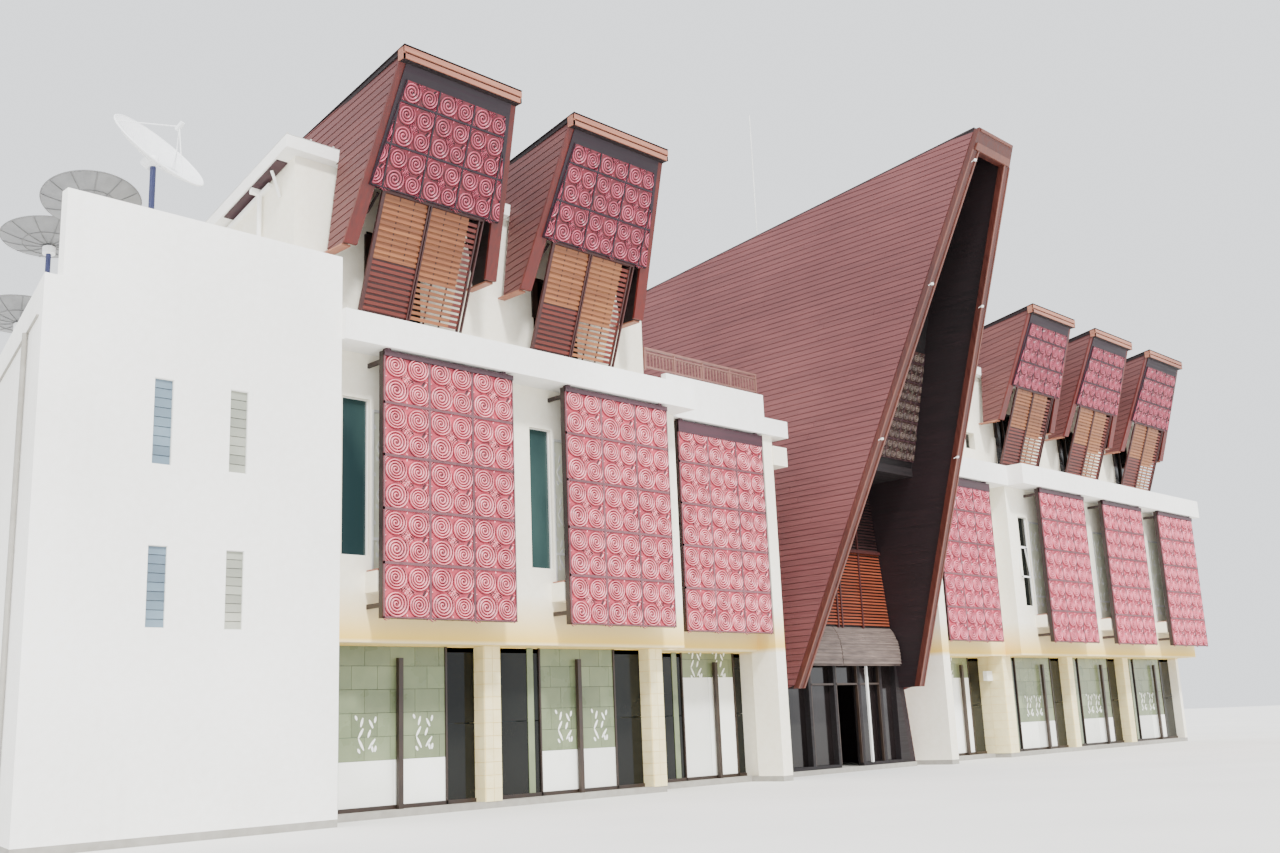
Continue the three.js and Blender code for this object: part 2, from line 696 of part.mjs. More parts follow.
// Cornice and roof slab of the right wing, with a parapet all round.
function rightRoofSlab() {
  const { rightOuter: outer, rightInner: inner } = SECTIONS;
  const slab = [BAND_BOTTOM, ROOF_SLAB_TOP];
  const band = [BAND_BOTTOM, CORNICE.rightTop];
  const { board, out } = CORNICE;
  const outerFront = outer.panelY - out;
  const innerFront = inner.panelY - out;
  return join(
    box([inner.x0, outer.x0], [innerFront, REAR], slab),
    box([outer.x0, HALF_LENGTH], [outerFront, REAR], slab),
    box([inner.x0, outer.x0 + board], [innerFront, innerFront + board], band),
    box([outer.x0, outer.x0 + board], [outerFront, innerFront + board], band),
    box([outer.x0, HALF_LENGTH], [outerFront, outerFront + board], band),
    box([HALF_LENGTH - board, HALF_LENGTH], [outerFront, REAR], band),
    box([inner.x0, HALF_LENGTH], [REAR - board, REAR], band),
    box([inner.x0, inner.x0 + board], [innerFront, REAR], band),
  );
}

// Top floor: a room behind the dormers under a roof that falls to the back.
function topFloorWalls(side) {
  const { x0, x1, wallY } = TOP_FLOORS[side];
  const under = (y) => topRoofZ(y) - TOP_ROOF.thickness - CLEARANCE;
  const plan = [
    [wallY, ROOF_SLAB_TOP],
    [TOP_FLOOR_BACK, ROOF_SLAB_TOP],
    [TOP_FLOOR_BACK, under(TOP_FLOOR_BACK)],
    [wallY, under(wallY)],
  ];
  const inside = [wallY + WALL, TOP_FLOOR_BACK - WALL];
  const hollow = box([x0 + WALL, x1 - WALL], inside, [ROOF_SLAB_TOP - REACH, TOP_ROOF.frontZ + REACH]);
  const front = [wallY - REACH, wallY + WALL + REACH];
  const back = [TOP_FLOOR_BACK - WALL - REACH, TOP_FLOOR_BACK + REACH];
  const cutters = [hollow];
  for (const { dormerX } of BAYS.filter((bay) => bay.dormerX && topFloorOf(bay) === TOP_FLOORS[side])) {
    const { left, right, bottom, top } = DORMER_WINDOW;
    cutters.push(box([dormerX - left, dormerX + right], front, [bottom, top]));
  }
  const { half, first, pitch, z } = BACK_WINDOW;
  for (let x = x0 + first; x < x1 - 2 * half; x += pitch) {
    cutters.push(box([x - half, x + half], back, z));
  }
  if (side === 'right') {
    cutters.push(box(SMALL_WINDOW.x, front, SMALL_WINDOW.z));
  }
  return cut(slabAlongX(plan, [x0, x1]), ...cutters);
}

function topFloorRoof(side) {
  const { x0, x1, shift, overhang } = TOP_FLOORS[side];
  const y0 = TOP_ROOF.frontY + shift;
  const y1 = TOP_ROOF.backY;
  const profile = [
    [y0, topRoofZ(y0) - TOP_ROOF.thickness],
    [y1, topRoofZ(y1) - TOP_ROOF.thickness],
    [y1, topRoofZ(y1)],
    [y0, topRoofZ(y0)],
  ];
  return slabAlongX(profile, [x0 - overhang[0], x1 + overhang[1]]);
}

// Stair block: plain walls with narrow windows, a roof slab and a raised front screen.
function stairBlock() {
  const { x0, x1, front, top, sideTop, inset } = BLOCK;
  const screen = box([x0 + inset, x1], [front, front + WALL], [sideTop - 10, top]);
  const hollow = slabAlongZ(blockPlan(WALL), [SLAB_TOP - REACH, sideTop + REACH]);
  const roof = slabAlongZ(blockPlan(WALL - 10), BLOCK.roof);
  const { half, rearHalf } = STAIR_WINDOWS;
  const cutters = [
    ...windowCutters(STAIR_WINDOWS.front, [front - REACH, front + WALL + REACH], half, SIDE_ROWS),
    ...windowCutters(STAIR_WINDOWS.rear, [REAR - WALL - REACH, REAR + REACH], rearHalf, REAR_ROWS),
  ];
  for (const y of STAIR_WINDOWS.side) {
    const side = x0 + BLOCK.splay * y;
    for (const z of SIDE_ROWS) {
      cutters.push(box([side - half, side + WALL + half], [y - half, y + half], z));
    }
  }
  const shell = cut(join(slabAlongZ(blockPlan(0), [SLAB_TOP, sideTop]), screen), hollow);
  return cut(join(shell, roof), ...cutters);
}

// Railing on the terrace parapet: end posts, rails and main posts in one frame.
function terraceRailing() {
  const { x, y, top, post, posts, bottomRail, middleRail, handrail } = RAILING;
  const z = [CORNICE.terraceTop, top];
  const parts = [
    box(x, y, bottomRail.map((at) => z[0] + at)),
    box(x, y, middleRail.map((at) => z[1] - at)),
    box(x, [y[0] - 10, y[1] + 10], [z[1] - handrail, z[1]]),
  ];
  for (let i = 0; i < posts; i += 1) {
    const at = x[0] + ((x[1] - x[0] - post) * i) / (posts - 1);
    parts.push(box([at, at + post], y, z));
  }
  return join(...parts);
}

// Carved panel: a framed board on four brackets from the wall.
function carvedPanel(bay) {
  const section = SECTIONS[bay.section];
  const x = [bay.x - PANEL.width / 2, bay.x + PANEL.width / 2];
  const y = section.panelY;
  const { width, inset, heights } = PANEL_BRACKET;
  const brackets = [x[0] + inset, x[1] - inset - width].flatMap((at) => {
    return heights.map((z) => box([at, at + width], [y + PANEL.depth / 3, wallPlane(section)], z));
  });
  return join(box(x, [y, y + PANEL.depth], [PANEL.bottom, PANEL.top]), ...brackets);
}

// Dormer shell: two boarded sides, a roof with a deep fascia, and a boarded back.
function dormerShell(bay) {
  const { topZ, bottomZ, lean, topOut, backY, roofFall, board, fascia } = DORMER;
  const { shift, rise } = topFloorOf(bay);
  const frontTop = SECTIONS[bay.section].panelY - topOut;
  const roofFront = TOP_ROOF.frontY + shift - CLEARANCE;
  const roofZ = (y) => topRoofZ(y) + CLEARANCE - rise;
  const topAt = (y) => topZ - (y - frontTop) * roofFall;
  const profile = [
    [frontTop, topZ],
    [frontTop + (bottomZ - topZ) * lean, bottomZ],
    [roofFront, bottomZ],
    [roofFront, roofZ(roofFront)],
    [backY, roofZ(backY)],
    [backY, topAt(backY)],
  ];
  const right = reshape(slabAlongX(profile, [-board, 0]), (p) => {
    p.x += bay.dormerX + dormerHalf(p.z);
  });
  const left = reshape(slabAlongX(profile, [0, board]), (p) => {
    p.x += bay.dormerX - dormerHalf(p.z);
  });
  const nose = frontTop - DORMER.capOut;
  const capProfile = [
    [nose, topZ + DORMER.capUp - fascia],
    [frontTop + 80, topZ + DORMER.capUp - fascia],
    [frontTop + 80, topAt(frontTop + 80) - 60],
    [backY, topAt(backY) - 60],
    [backY, topAt(backY) + 60],
    [nose, topZ + DORMER.capUp],
  ];
  const cap = slabAlongX(capProfile, [bay.dormerX - DORMER.capHalfWidth, bay.dormerX + DORMER.capHalfWidth]);
  const half = dormerHalf(topAt(backY)) - 20;
  const foot = roofZ(backY - board);
  const back = box(
    [bay.dormerX - half, bay.dormerX + half],
    [backY - board, backY],
    [foot, topAt(backY) + 10],
  );
  return join(left, right, cap, back).translate(0, 0, rise);
}

// Carved front of a dormer with the louvre screen below it, on one leaning plane.
function dormerFront(bay) {
  const { foot, split, splitY, lean, gap } = DORMER_FRONT;
  const { rise } = topFloorOf(bay);
  const planeY = (z) => SECTIONS[bay.section].panelY + splitY + (z - split) * lean;
  const top = DORMER.topZ + DORMER.capUp - DORMER.fascia - 30;
  const half = (z) => dormerHalf(z) - DORMER.board - gap;
  const [left, right, middle] = [bay.dormerX - SCREEN.half, bay.dormerX + SCREEN.half, bay.dormerX];
  const screenTop = split + rise;
  const openings = [
    rectangle(left + SCREEN.stile, middle - SCREEN.mullion, foot + SCREEN.rail, screenTop - SCREEN.rail),
    rectangle(middle + SCREEN.mullion, right - SCREEN.stile, foot + SCREEN.rail, screenTop - SCREEN.rail),
  ];
  const carving = slabAlongY(taper(half, split, top), [0, 90]).translate(middle, 0, rise);
  const frame = slabAlongY(rectangle(left, right, foot, screenTop + 20), SCREEN.frame, openings);
  const sheet = slabAlongY(rectangle(left + 30, right - 30, foot + 60, screenTop + 10), SCREEN.sheet);
  const pieces = [carving, frame, sheet].map((piece) => reshape(piece, (p) => {
    p.y += planeY(p.z);
  }));
  return join(...pieces);
}

// Satellite dish: a shallow bowl on a tall mast with a hub and a foot plate.
function satelliteDish({ x, y, z, radius, azimuth, elevation }) {
  const rise = (r) => DISH.depthRatio * radius * (r / radius) ** 2;
  const radii = Array.from({ length: DISH.steps + 1 }, (_, i) => (radius * i) / DISH.steps);
  const profile = [
    ...radii.map((r) => new THREE.Vector2(r, rise(r) - DISH.skin)),
    ...[...radii].reverse().map((r) => new THREE.Vector2(r, rise(r))),
  ];
  const turn = THREE.MathUtils.degToRad(azimuth);
  const lift = THREE.MathUtils.degToRad(elevation);
  const aim = new THREE.Vector3(
    Math.cos(lift) * Math.cos(turn),
    Math.cos(lift) * Math.sin(turn),
    Math.sin(lift),
  );
  const toAim = new THREE.Quaternion().setFromUnitVectors(new THREE.Vector3(0, 1, 0), aim);
  const bowl = new THREE.LatheGeometry(profile, 24).applyQuaternion(toAim).translate(x, atDepth(y), z);
  const base = BLOCK.roof[1];
  const mast = new THREE.CylinderGeometry(DISH.mast, DISH.mast, z - 80 - base, 16);
  mast.rotateX(Math.PI / 2).translate(x, atDepth(y), (z - 80 + base) / 2);
  const hub = new THREE.SphereGeometry(DISH.hub, 16, 12).translate(x, atDepth(y), z - 60);
  const foot = box([x - DISH.foot, x + DISH.foot], [y - DISH.foot, y + DISH.foot], [base, base + 20]);
  return join(bowl, mast, hub, foot);
}

const { leftOuter, leftInner, rightInner, rightOuter } = SECTIONS;

add('ground_slab', groundSlab(), 'concrete', 0.9);

add('hall_left_side', hallSide(-1), 'siding');
add('hall_right_side', hallSide(1), 'siding');
add('hall_ridge_cap', hallRidgeCap(), 'verge');
add('hall_front_verge', hallVerge(), 'verge');
add('hall_rear_verge', toRear(hallVerge()), 'verge');
add('hall_attic_floor', hallAtticFloor(), 'darkWood');
add('hall_front_gable', hallGable(), 'darkWood');
add('hall_rear_gable', toRear(hallGable()), 'darkWood');
add('hall_front_carving', hallCarving(), 'carving');
add('hall_rear_carving', toRear(hallCarving()), 'carving');
add('hall_front_wall', hallWall(), 'darkWood');
add('hall_rear_wall', toRear(hallWall()), 'darkWood');
add('hall_front_glass', hallGlass(), 'glass', 0.15);
add('hall_rear_glass', toRear(hallGlass()), 'glass', 0.15);
add('hall_awning', hallAwning(), 'metal', 0.6, 0.3);
add('lightning_rod', lightningRod(), 'metal', 0.4, 0.8);

add('left_wing_walls', leftWingWalls(), 'white', 0.8);
add('left_wing_first_floor', wingFloor(leftOuter, leftInner, FIRST_SOFFIT, 0), 'cream');
add('left_wing_second_floor', wingFloor(leftOuter, leftInner, SECOND_SOFFIT, GLASS), 'cream');
add('left_wing_ground_front', groundFront(GROUND_FLOORS.left), 'cream', 0.8);
add('left_wing_ground_glass', groundGlass(GROUND_FLOORS.left), 'glass', 0.15);
add('left_wing_upper_glass', leftUpperGlass(), 'glass', 0.15);
add('left_link', hallLink(-1), 'white', 0.8);
add('left_wing_roof_slab', leftRoofSlab(), 'white', 0.8);
add('left_top_floor_walls', topFloorWalls('left'), 'white', 0.8);
add('left_top_floor_roof', topFloorRoof('left'), 'white', 0.8);
add('terrace_railing', terraceRailing(), 'railing');
add('left_stair_block', stairBlock(), 'white', 0.8);

add('right_wing_walls', rightWingWalls(), 'white', 0.8);
add('right_wing_first_floor', wingFloor(rightOuter, rightInner, FIRST_SOFFIT, 0), 'cream');
add('right_wing_second_floor', wingFloor(rightOuter, rightInner, SECOND_SOFFIT, GLASS), 'cream');
add('right_wing_ground_front', groundFront(GROUND_FLOORS.right), 'cream', 0.8);
add('right_wing_ground_glass', groundGlass(GROUND_FLOORS.right), 'glass', 0.15);
add('right_wing_upper_glass', rightUpperGlass(), 'glass', 0.15);
add('right_link', hallLink(1), 'white', 0.8);
add('right_wing_roof_slab', rightRoofSlab(), 'white', 0.8);
add('right_top_floor_walls', topFloorWalls('right'), 'white', 0.8);
add('right_top_floor_roof', topFloorRoof('right'), 'white', 0.8);

for (const bay of BAYS) {
  add(`${bay.name}_panel`, carvedPanel(bay), 'carving');
  if (bay.dormerX) {
    add(`${bay.name}_dormer`, dormerShell(bay), 'siding');
    add(`${bay.name}_dormer_front`, dormerFront(bay), 'louvre');
  }
}

DISHES.forEach((dish, index) => {
  add(`satellite_dish_${index + 1}`, satelliteDish(dish), 'metal', 0.5, 0.4);
});

export default group;
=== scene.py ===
"""Looks of a tongkonan-style building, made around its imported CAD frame.

Pieces are laid out at real size in metres: x from the centre line of the hall, y from the plane of
the main panels into the building, z above the ground. Shape.build turns them into the 1:2 model.
"""
import logging
import math
from collections.abc import Callable, Sequence
from dataclasses import dataclass, field
from enum import Enum

import bpy
import numpy as np
from mathutils import Matrix, Vector


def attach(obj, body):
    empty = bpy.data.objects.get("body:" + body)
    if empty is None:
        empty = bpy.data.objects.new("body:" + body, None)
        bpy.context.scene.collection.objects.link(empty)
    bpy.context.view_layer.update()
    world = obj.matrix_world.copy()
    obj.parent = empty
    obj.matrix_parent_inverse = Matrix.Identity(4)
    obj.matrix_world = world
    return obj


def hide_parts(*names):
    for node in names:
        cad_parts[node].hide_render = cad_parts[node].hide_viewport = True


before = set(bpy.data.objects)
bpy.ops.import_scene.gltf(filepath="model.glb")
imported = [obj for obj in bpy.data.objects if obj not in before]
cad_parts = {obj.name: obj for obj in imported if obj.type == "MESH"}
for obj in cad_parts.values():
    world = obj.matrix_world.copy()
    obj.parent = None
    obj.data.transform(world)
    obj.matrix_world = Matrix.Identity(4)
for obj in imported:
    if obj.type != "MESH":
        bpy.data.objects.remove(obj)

LOG = logging.getLogger("tongkonan")
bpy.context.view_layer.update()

MODEL_SCALE = 0.5
DEPTH_ORIGIN = 9.3
HALL_BACK = 2 * DEPTH_ORIGIN
SLAB_TOP = 0.15
FIRST_SOFFIT = 3.62
ROOF_SLAB_TOP = 10.15
REAR = 17.95
PANEL_TO_WALL = 0.65
SEED = 7
DEEPENING = 0.57
# Heights of carving where its colour turns from painted groove shade to its paint, and from its paint to a
# painted crest highlight.
GROOVE_SHADE_HEIGHTS = (0.28, 0.58)
CREST_HIGHLIGHT_HEIGHTS = (0.68, 1.0)
LAPPED_BOARD = np.array([-0.01] * 4 + [0.024, 0.024, 0.014, 0.014])
PATCH_BRIGHTNESS = (0.93, 1.05)

Pair = tuple[float, float]
Triple = tuple[float, float, float]
Colour = Triple
Limit = Callable[[np.ndarray], np.ndarray]
Socket = bpy.types.NodeSocket


def paint(red: int, green: int, blue: int) -> Colour:
    """Gives the linear colour of an sRGB colour in steps of 0 to 255.

    Args:
        red: Red, from 0 to 255.
        green: Green.
        blue: Blue.

    Returns:
        The linear colour.
    """
    values = np.array([red, green, blue]) / 255
    linear = np.where(values <= 0.04045, values / 12.92, ((values + 0.055) / 1.055) ** 2.4)
    return tuple(float(v) for v in linear)


def deep(red: int, green: int, blue: int) -> Colour:
    """As paint, but darker, for coloured parts under a light strong enough to make the walls white."""
    return tuple(DEEPENING * v for v in paint(red, green, blue))


class Surface(Enum):
    """How a finish varies over its surface."""

    RENDER = "render"
    BOARD = "board"
    CARVED = "carved"
    METAL = "metal"
    PANE = "pane"


class Nodes:
    """A material's node tree, built up from short calls."""

    def __init__(self, material: bpy.types.Material) -> None:
        """Empties the material's tree and adds the shader and the output.

        Args:
            material: The material to fill.
        """
        material.use_nodes = True
        self.tree = material.node_tree
        self.tree.nodes.clear()
        self.shader = self.add("ShaderNodeBsdfPrincipled")
        output = self.add("ShaderNodeOutputMaterial")
        self.tree.links.new(self.shader.outputs[0], output.inputs[0])
        self.place = self.add("ShaderNodeTexCoord").outputs["Object"]

    def add(self, kind: str, inputs: dict | None = None, **settings: object) -> bpy.types.Node:
        """Adds a node of a kind with its settings, and feeds its inputs.

        Args:
            kind: The node's type.
            inputs: Sockets, numbers or colours, by the name or number of the input.
            settings: Its properties by name.

        Returns:
            The node.
        """
        node = self.tree.nodes.new(kind)
        for key, value in settings.items():
            setattr(node, key, value)
        for key, value in (inputs or {}).items():
            self.feed(node.inputs[key], value)
        return node

    def feed(self, socket: Socket, value: object) -> None:
        """Links a socket, or sets a number or colour, on an input.

        Args:
            socket: The input.
            value: A socket to link, or a number, vector or colour.
        """
        if isinstance(value, Socket):
            self.tree.links.new(value, socket)
        elif isinstance(value, tuple) and len(value) == 3 and socket.type == "RGBA":
            socket.default_value = (*value, 1.0)
        else:
            socket.default_value = value

    def noise(self, scale: float, stretch: Triple = (1, 1, 1), detail: float = 5) -> Socket:
        """Noise over the object's own coordinates, stretched along its axes.

        Args:
            scale: How fine it is.
            stretch: A factor for each axis; a small one draws it out.
            detail: Number of finer layers.

        Returns:
            The noise, from 0 to 1.
        """
        mapping = self.add("ShaderNodeMapping", {"Vector": self.place, "Scale": stretch})
        inputs = {"Vector": mapping.outputs[0], "Scale": scale, "Detail": detail}
        return self.add("ShaderNodeTexNoise", inputs).outputs["Fac"]

    def attribute(self, name: str) -> Socket:
        """The value of a mesh attribute, nought where the mesh has none."""
        return self.add("ShaderNodeAttribute", attribute_name=name).outputs["Fac"]

    def maths(self, operation: str, first: object, second: object) -> Socket:
        """One sum on two values, each a socket or a number."""
        return self.add("ShaderNodeMath", {0: first, 1: second}, operation=operation).outputs[0]

    def spread(self, value: object, low: float, high: float, to: Pair = (0, 1)) -> Socket:
        """Maps low..high of a value onto the range of to, and holds it there."""
        ends = {"From Min": low, "From Max": high, "To Min": to[0], "To Max": to[1]}
        return self.add("ShaderNodeMapRange", {"Value": value, **ends}).outputs[0]

    def mix(self, share: object, first: object, second: object) -> Socket:
        """Mixes two colours, each a socket or a colour; share is how much there is of the second."""
        return self.add("ShaderNodeMix", {0: share, 6: first, 7: second}, data_type="RGBA").outputs[2]

    def brighten(self, colour: object, value: object) -> Socket:
        """Multiplies a colour's brightness by a value."""
        return self.add("ShaderNodeHueSaturation", {"Color": colour, "Value": value}).outputs[0]


@dataclass(frozen=True)
class Finish:
    """A finish: its two main colours and how they vary, wear and shine."""

    name: str
    slot: str
    surface: Surface
    light: Colour
    dark: Colour
    roughness: float = 0.7
    metallic: float = 0.0
    coat: float = 0.0
    grain: float = 6.0
    stretch: Triple = (1, 1, 1)
    bump: float = 0.25
    bump_depth: float = 0.004
    pane_specular: float = 0.25
    tone: float = 0.18
    streak: float = 0.0
    streak_colour: Colour = (0.05, 0.04, 0.03)
    # Painted highlight on the crests of carving.
    crest: Colour = (0.9, 0.8, 0.8)
    # Painted shade: a level band of warm yellow for the shade under overhangs, over a range of heights.
    shade_band: Colour | None = None
    shade_band_heights: Triple = (0.0, 0.5, 1.0)

    def material(self) -> bpy.types.Material:
        """Makes the material once and returns it each time.

        Returns:
            The material.
        """
        found = bpy.data.materials.get(self.name)
        if found:
            return found
        material = bpy.data.materials.new(self.name)
        nodes = Nodes(material)
        fine = nodes.noise(self.grain, self.stretch, 6)
        broad = nodes.noise(0.35, detail=3)
        colour = self.shade_banded(nodes, self.blended(nodes, fine, broad))
        tone = nodes.maths("MULTIPLY", nodes.attribute("tone"), self.tone)
        patches = nodes.spread(broad, 0.3, 0.7, PATCH_BRIGHTNESS)
        colour = nodes.brighten(colour, nodes.maths("ADD", tone, patches))
        nodes.feed(nodes.shader.inputs["Base Color"], self.streaked(nodes, colour))
        self.shine(nodes, fine)
        return material

    def blended(self, nodes: Nodes, fine: object, broad: object) -> Socket:
        """Mixes the colours by noise, or paints shade in a carving's grooves and a highlight on its crests.

        Args:
            nodes: The nodes of the material.
            fine: Fine noise.
            broad: Broad noise.

        Returns:
            The colour.
        """
        if self.surface is not Surface.CARVED:
            share = nodes.spread(nodes.maths("ADD", fine, broad), 0.75, 1.3)
            return nodes.mix(share, self.dark, self.light)
        unevenness = nodes.spread(fine, 0.3, 0.7, (-0.1, 0.1))
        height = nodes.maths("ADD", nodes.attribute("relief"), unevenness)
        colour = nodes.mix(nodes.spread(height, *GROOVE_SHADE_HEIGHTS), self.dark, self.light)
        return nodes.mix(nodes.spread(height, *CREST_HIGHLIGHT_HEIGHTS), colour, self.crest)

    def shade_banded(self, nodes: Nodes, colour: object) -> object:
        """Paints a level band of warm shade over a range of heights, full in its middle.

        Args:
            nodes: The nodes of the material.
            colour: The colour so far.

        Returns:
            The colour with its painted shade band.
        """
        if not self.shade_band:
            return colour
        height = nodes.add("ShaderNodeSeparateXYZ", {0: nodes.place}).outputs["Z"]
        start, full, end = self.shade_band_heights
        below = nodes.spread(height, start, full)
        above = nodes.spread(height, full, end, (1, 0))
        return nodes.mix(nodes.maths("MULTIPLY", below, above), colour, self.shade_band)

    def streaked(self, nodes: Nodes, colour: object) -> object:
        """Runs upright dirt streaks down the surface, in patches.

        Args:
            nodes: The nodes of the material.
            colour: The colour so far.

        Returns:
            The colour with its streaks.
        """
        if not self.streak:
            return colour
        trace = nodes.noise(5.0, (1.0, 1.0, 0.07), 4)
        patch = nodes.noise(0.5, (1.0, 1.0, 0.6), 2)
        amount = nodes.maths("MULTIPLY", nodes.spread(trace, 0.5, 0.75), nodes.spread(patch, 0.45, 0.7))
        return nodes.mix(nodes.maths("MULTIPLY", amount, self.streak), colour, self.streak_colour)

    def shine(self, nodes: Nodes, fine: object) -> None:
        """Sets the shader's gloss, and its bump where the surface isn't a pane.

        Args:
            nodes: The nodes of the material.
            fine: Fine noise.
        """
        shader = nodes.shader
        rough = (max(self.roughness - 0.08, 0.03), min(self.roughness + 0.1, 1.0))
        nodes.feed(shader.inputs["Roughness"], nodes.spread(fine, 0.3, 0.7, rough))
        shader.inputs["Metallic"].default_value = self.metallic
        shader.inputs["Coat Weight"].default_value = self.coat
        if self.surface is Surface.PANE:
            shader.inputs["Specular IOR Level"].default_value = self.pane_specular
            return
        inputs = {"Strength": self.bump, "Distance": self.bump_depth, "Height": fine}
        nodes.feed(shader.inputs["Normal"], nodes.add("ShaderNodeBump", inputs).outputs[0])


def boards(name: str, slot: str, light: tuple[int, int, int], dark: tuple[int, int, int],
           roughness: float, **more: object) -> Finish:
    """Makes a finish of boards from two sRGB colours."""
    return Finish(name, slot, Surface.BOARD, deep(*light), deep(*dark), roughness, **more)


ALONG_Y = (1.0, 0.06, 1.6)
ALONG_X = (0.06, 1.0, 1.6)
UPRIGHT = (1.6, 1.6, 0.1)
DIRT = paint(120, 110, 92)

WHITE = Finish("white_render", "white_wall", Surface.RENDER, paint(255, 254, 250), paint(248, 246, 240),
               0.85, grain=14, bump=0.35, streak=0.1, streak_colour=DIRT)
# Cream-white render; its yellow band 3.5 to 4.8 m up is painted shade under the panels and slabs.
CREAM_WHITE = Finish("cream_white_render", "white_wall", Surface.RENDER, paint(255, 250, 234),
                     paint(247, 240, 220), 0.85, grain=14, bump=0.35, streak=0.1, streak_colour=DIRT,
                     shade_band=paint(246, 206, 98), shade_band_heights=(1.77, 1.85, 2.4))
# Partly painted shade: pale cream paint deepened to the warm yellow of the shade under the slabs.
SHADED_CREAM = Finish("shaded_cream_render", "cream_wall", Surface.RENDER, paint(250, 224, 140), paint(238, 208, 122),
               0.85, grain=14, bump=0.35, streak=0.14, streak_colour=DIRT)
TILE = Finish("cream_tile", "cream_wall", Surface.RENDER, paint(253, 241, 192), paint(243, 226, 168), 0.5,
              grain=9, bump=0.15, tone=0.07)
CONCRETE = Finish("plain_concrete", "concrete", Surface.RENDER, deep(214, 210, 200), deep(190, 185, 174),
                  0.9, grain=10, bump=0.5, streak=0.15, streak_colour=DIRT)
SIDING = boards("mauve_boards", "siding", (146, 84, 84), (120, 62, 64), 0.62, grain=22, stretch=ALONG_Y,
                tone=0.07)
DORMER_SIDING = boards("dormer_boards", "siding", (138, 80, 76), (114, 60, 60), 0.62, grain=22,
                       stretch=ALONG_Y, tone=0.07)
VERGE = boards("verge_boards", "verge", (112, 50, 36), (80, 30, 24), 0.5, grain=16, stretch=UPRIGHT,
               bump=0.3, tone=0.12)
VERGE_TRIM = boards("verge_trim", "verge", (150, 92, 76), (118, 64, 52), 0.5, grain=16, stretch=UPRIGHT,
                    bump=0.3, tone=0.12)
DORMER_VERGE = boards("dormer_verge_boards", "verge", (134, 40, 30), (98, 26, 22), 0.5, grain=16,
                      stretch=UPRIGHT, bump=0.3, tone=0.12)
FASCIA = boards("salmon_fascia", "verge", (214, 146, 116), (178, 106, 84), 0.5, grain=16, stretch=ALONG_X,
                tone=0.08)
FLASHING = Finish("dark_flashing", "verge", Surface.METAL, deep(58, 40, 40), deep(38, 26, 28), 0.5,
                  metallic=0.3, grain=9, stretch=ALONG_X)
# Partly painted shade: dark boards, darkened to near black for the shade under the hall's prow on its
# gables, walls and attic floor.
SHADE_DARK_WOOD = boards("shade_dark_boards", "dark_wood", (30, 14, 18), (16, 8, 12), 0.7, grain=18, stretch=ALONG_X,
                   bump=0.4)
# Painted shade: near-black boards for the shaded insides of the hall's prow and of the dormers; they also
# fill the joints between the boards.
SHADE_LINING = boards("shade_lining", "siding", (44, 16, 24), (24, 10, 16), 0.7, grain=18, stretch=ALONG_Y,
                bump=0.4)
# In carving, the dark colour is painted shade in the grooves, and the crest colour a painted highlight.
CARVED = Finish("crimson_carving", "carving", Surface.CARVED, deep(252, 88, 112), deep(70, 0, 22), 0.45,
                grain=9, bump=0.2, tone=0.12, crest=paint(255, 184, 190))
ROSE_CARVED = Finish("rose_carving", "carving", Surface.CARVED, deep(248, 64, 100), deep(60, 0, 24), 0.45,
                     grain=9, bump=0.2, tone=0.12, crest=paint(246, 160, 178))
DEEP_CARVED = Finish("deep_crimson_carving", "carving", Surface.CARVED, deep(164, 36, 62),
                     deep(44, 0, 14), 0.45, grain=9, bump=0.2, tone=0.15, crest=paint(216, 108, 134))
# Painted shade: the gable carving darkened as it lies in the shade under the hall's prow.
SHADED_CARVED = Finish("shaded_carving", "carving", Surface.CARVED, deep(88, 50, 44), deep(26, 16, 18), 0.65,
                    grain=5, bump=0.2, tone=0.35, crest=deep(136, 128, 112))
FRAME_LINE = boards("mauve_battens", "carving", (150, 98, 106), (122, 74, 82), 0.6, grain=16, bump=0.3)
# Partly painted shadow: a dark strip, deepened to paint the cornice's shadow on the panels; also painted
# shade on the gable battens and under the left verge.
HEADER_AND_SHADE = boards("header_and_shade_boards", "carving", (92, 54, 66), (62, 36, 46), 0.6, grain=16, stretch=ALONG_X,
                bump=0.3)
# Painted shade: boards darkened as in the fascia's shadow, for the dormer's header, backing board and
# battens.
DORMER_HEADER_SHADE = boards("dormer_header_shade", "carving", (58, 32, 50), (38, 20, 34), 0.6, grain=16,
                       stretch=ALONG_X, bump=0.3)
# One louvre wood in two copies: the first is painted as sunlit, the second as in shade.
SUNLIT_LOUVRE = boards("louvre_wood", "carving", (196, 128, 78), (160, 92, 52), 0.55, grain=20, stretch=ALONG_X,
                bump=0.3, tone=0.15)
SHADED_LOUVRE = boards("shaded_louvre_wood", "carving", (146, 58, 42), (108, 38, 30), 0.55, grain=20,
                       stretch=ALONG_X, bump=0.3, tone=0.15)
LOUVRE_FRAME = boards("louvre_frame", "carving", (98, 46, 42), (66, 30, 30), 0.55, grain=20,
                      stretch=UPRIGHT, bump=0.3)
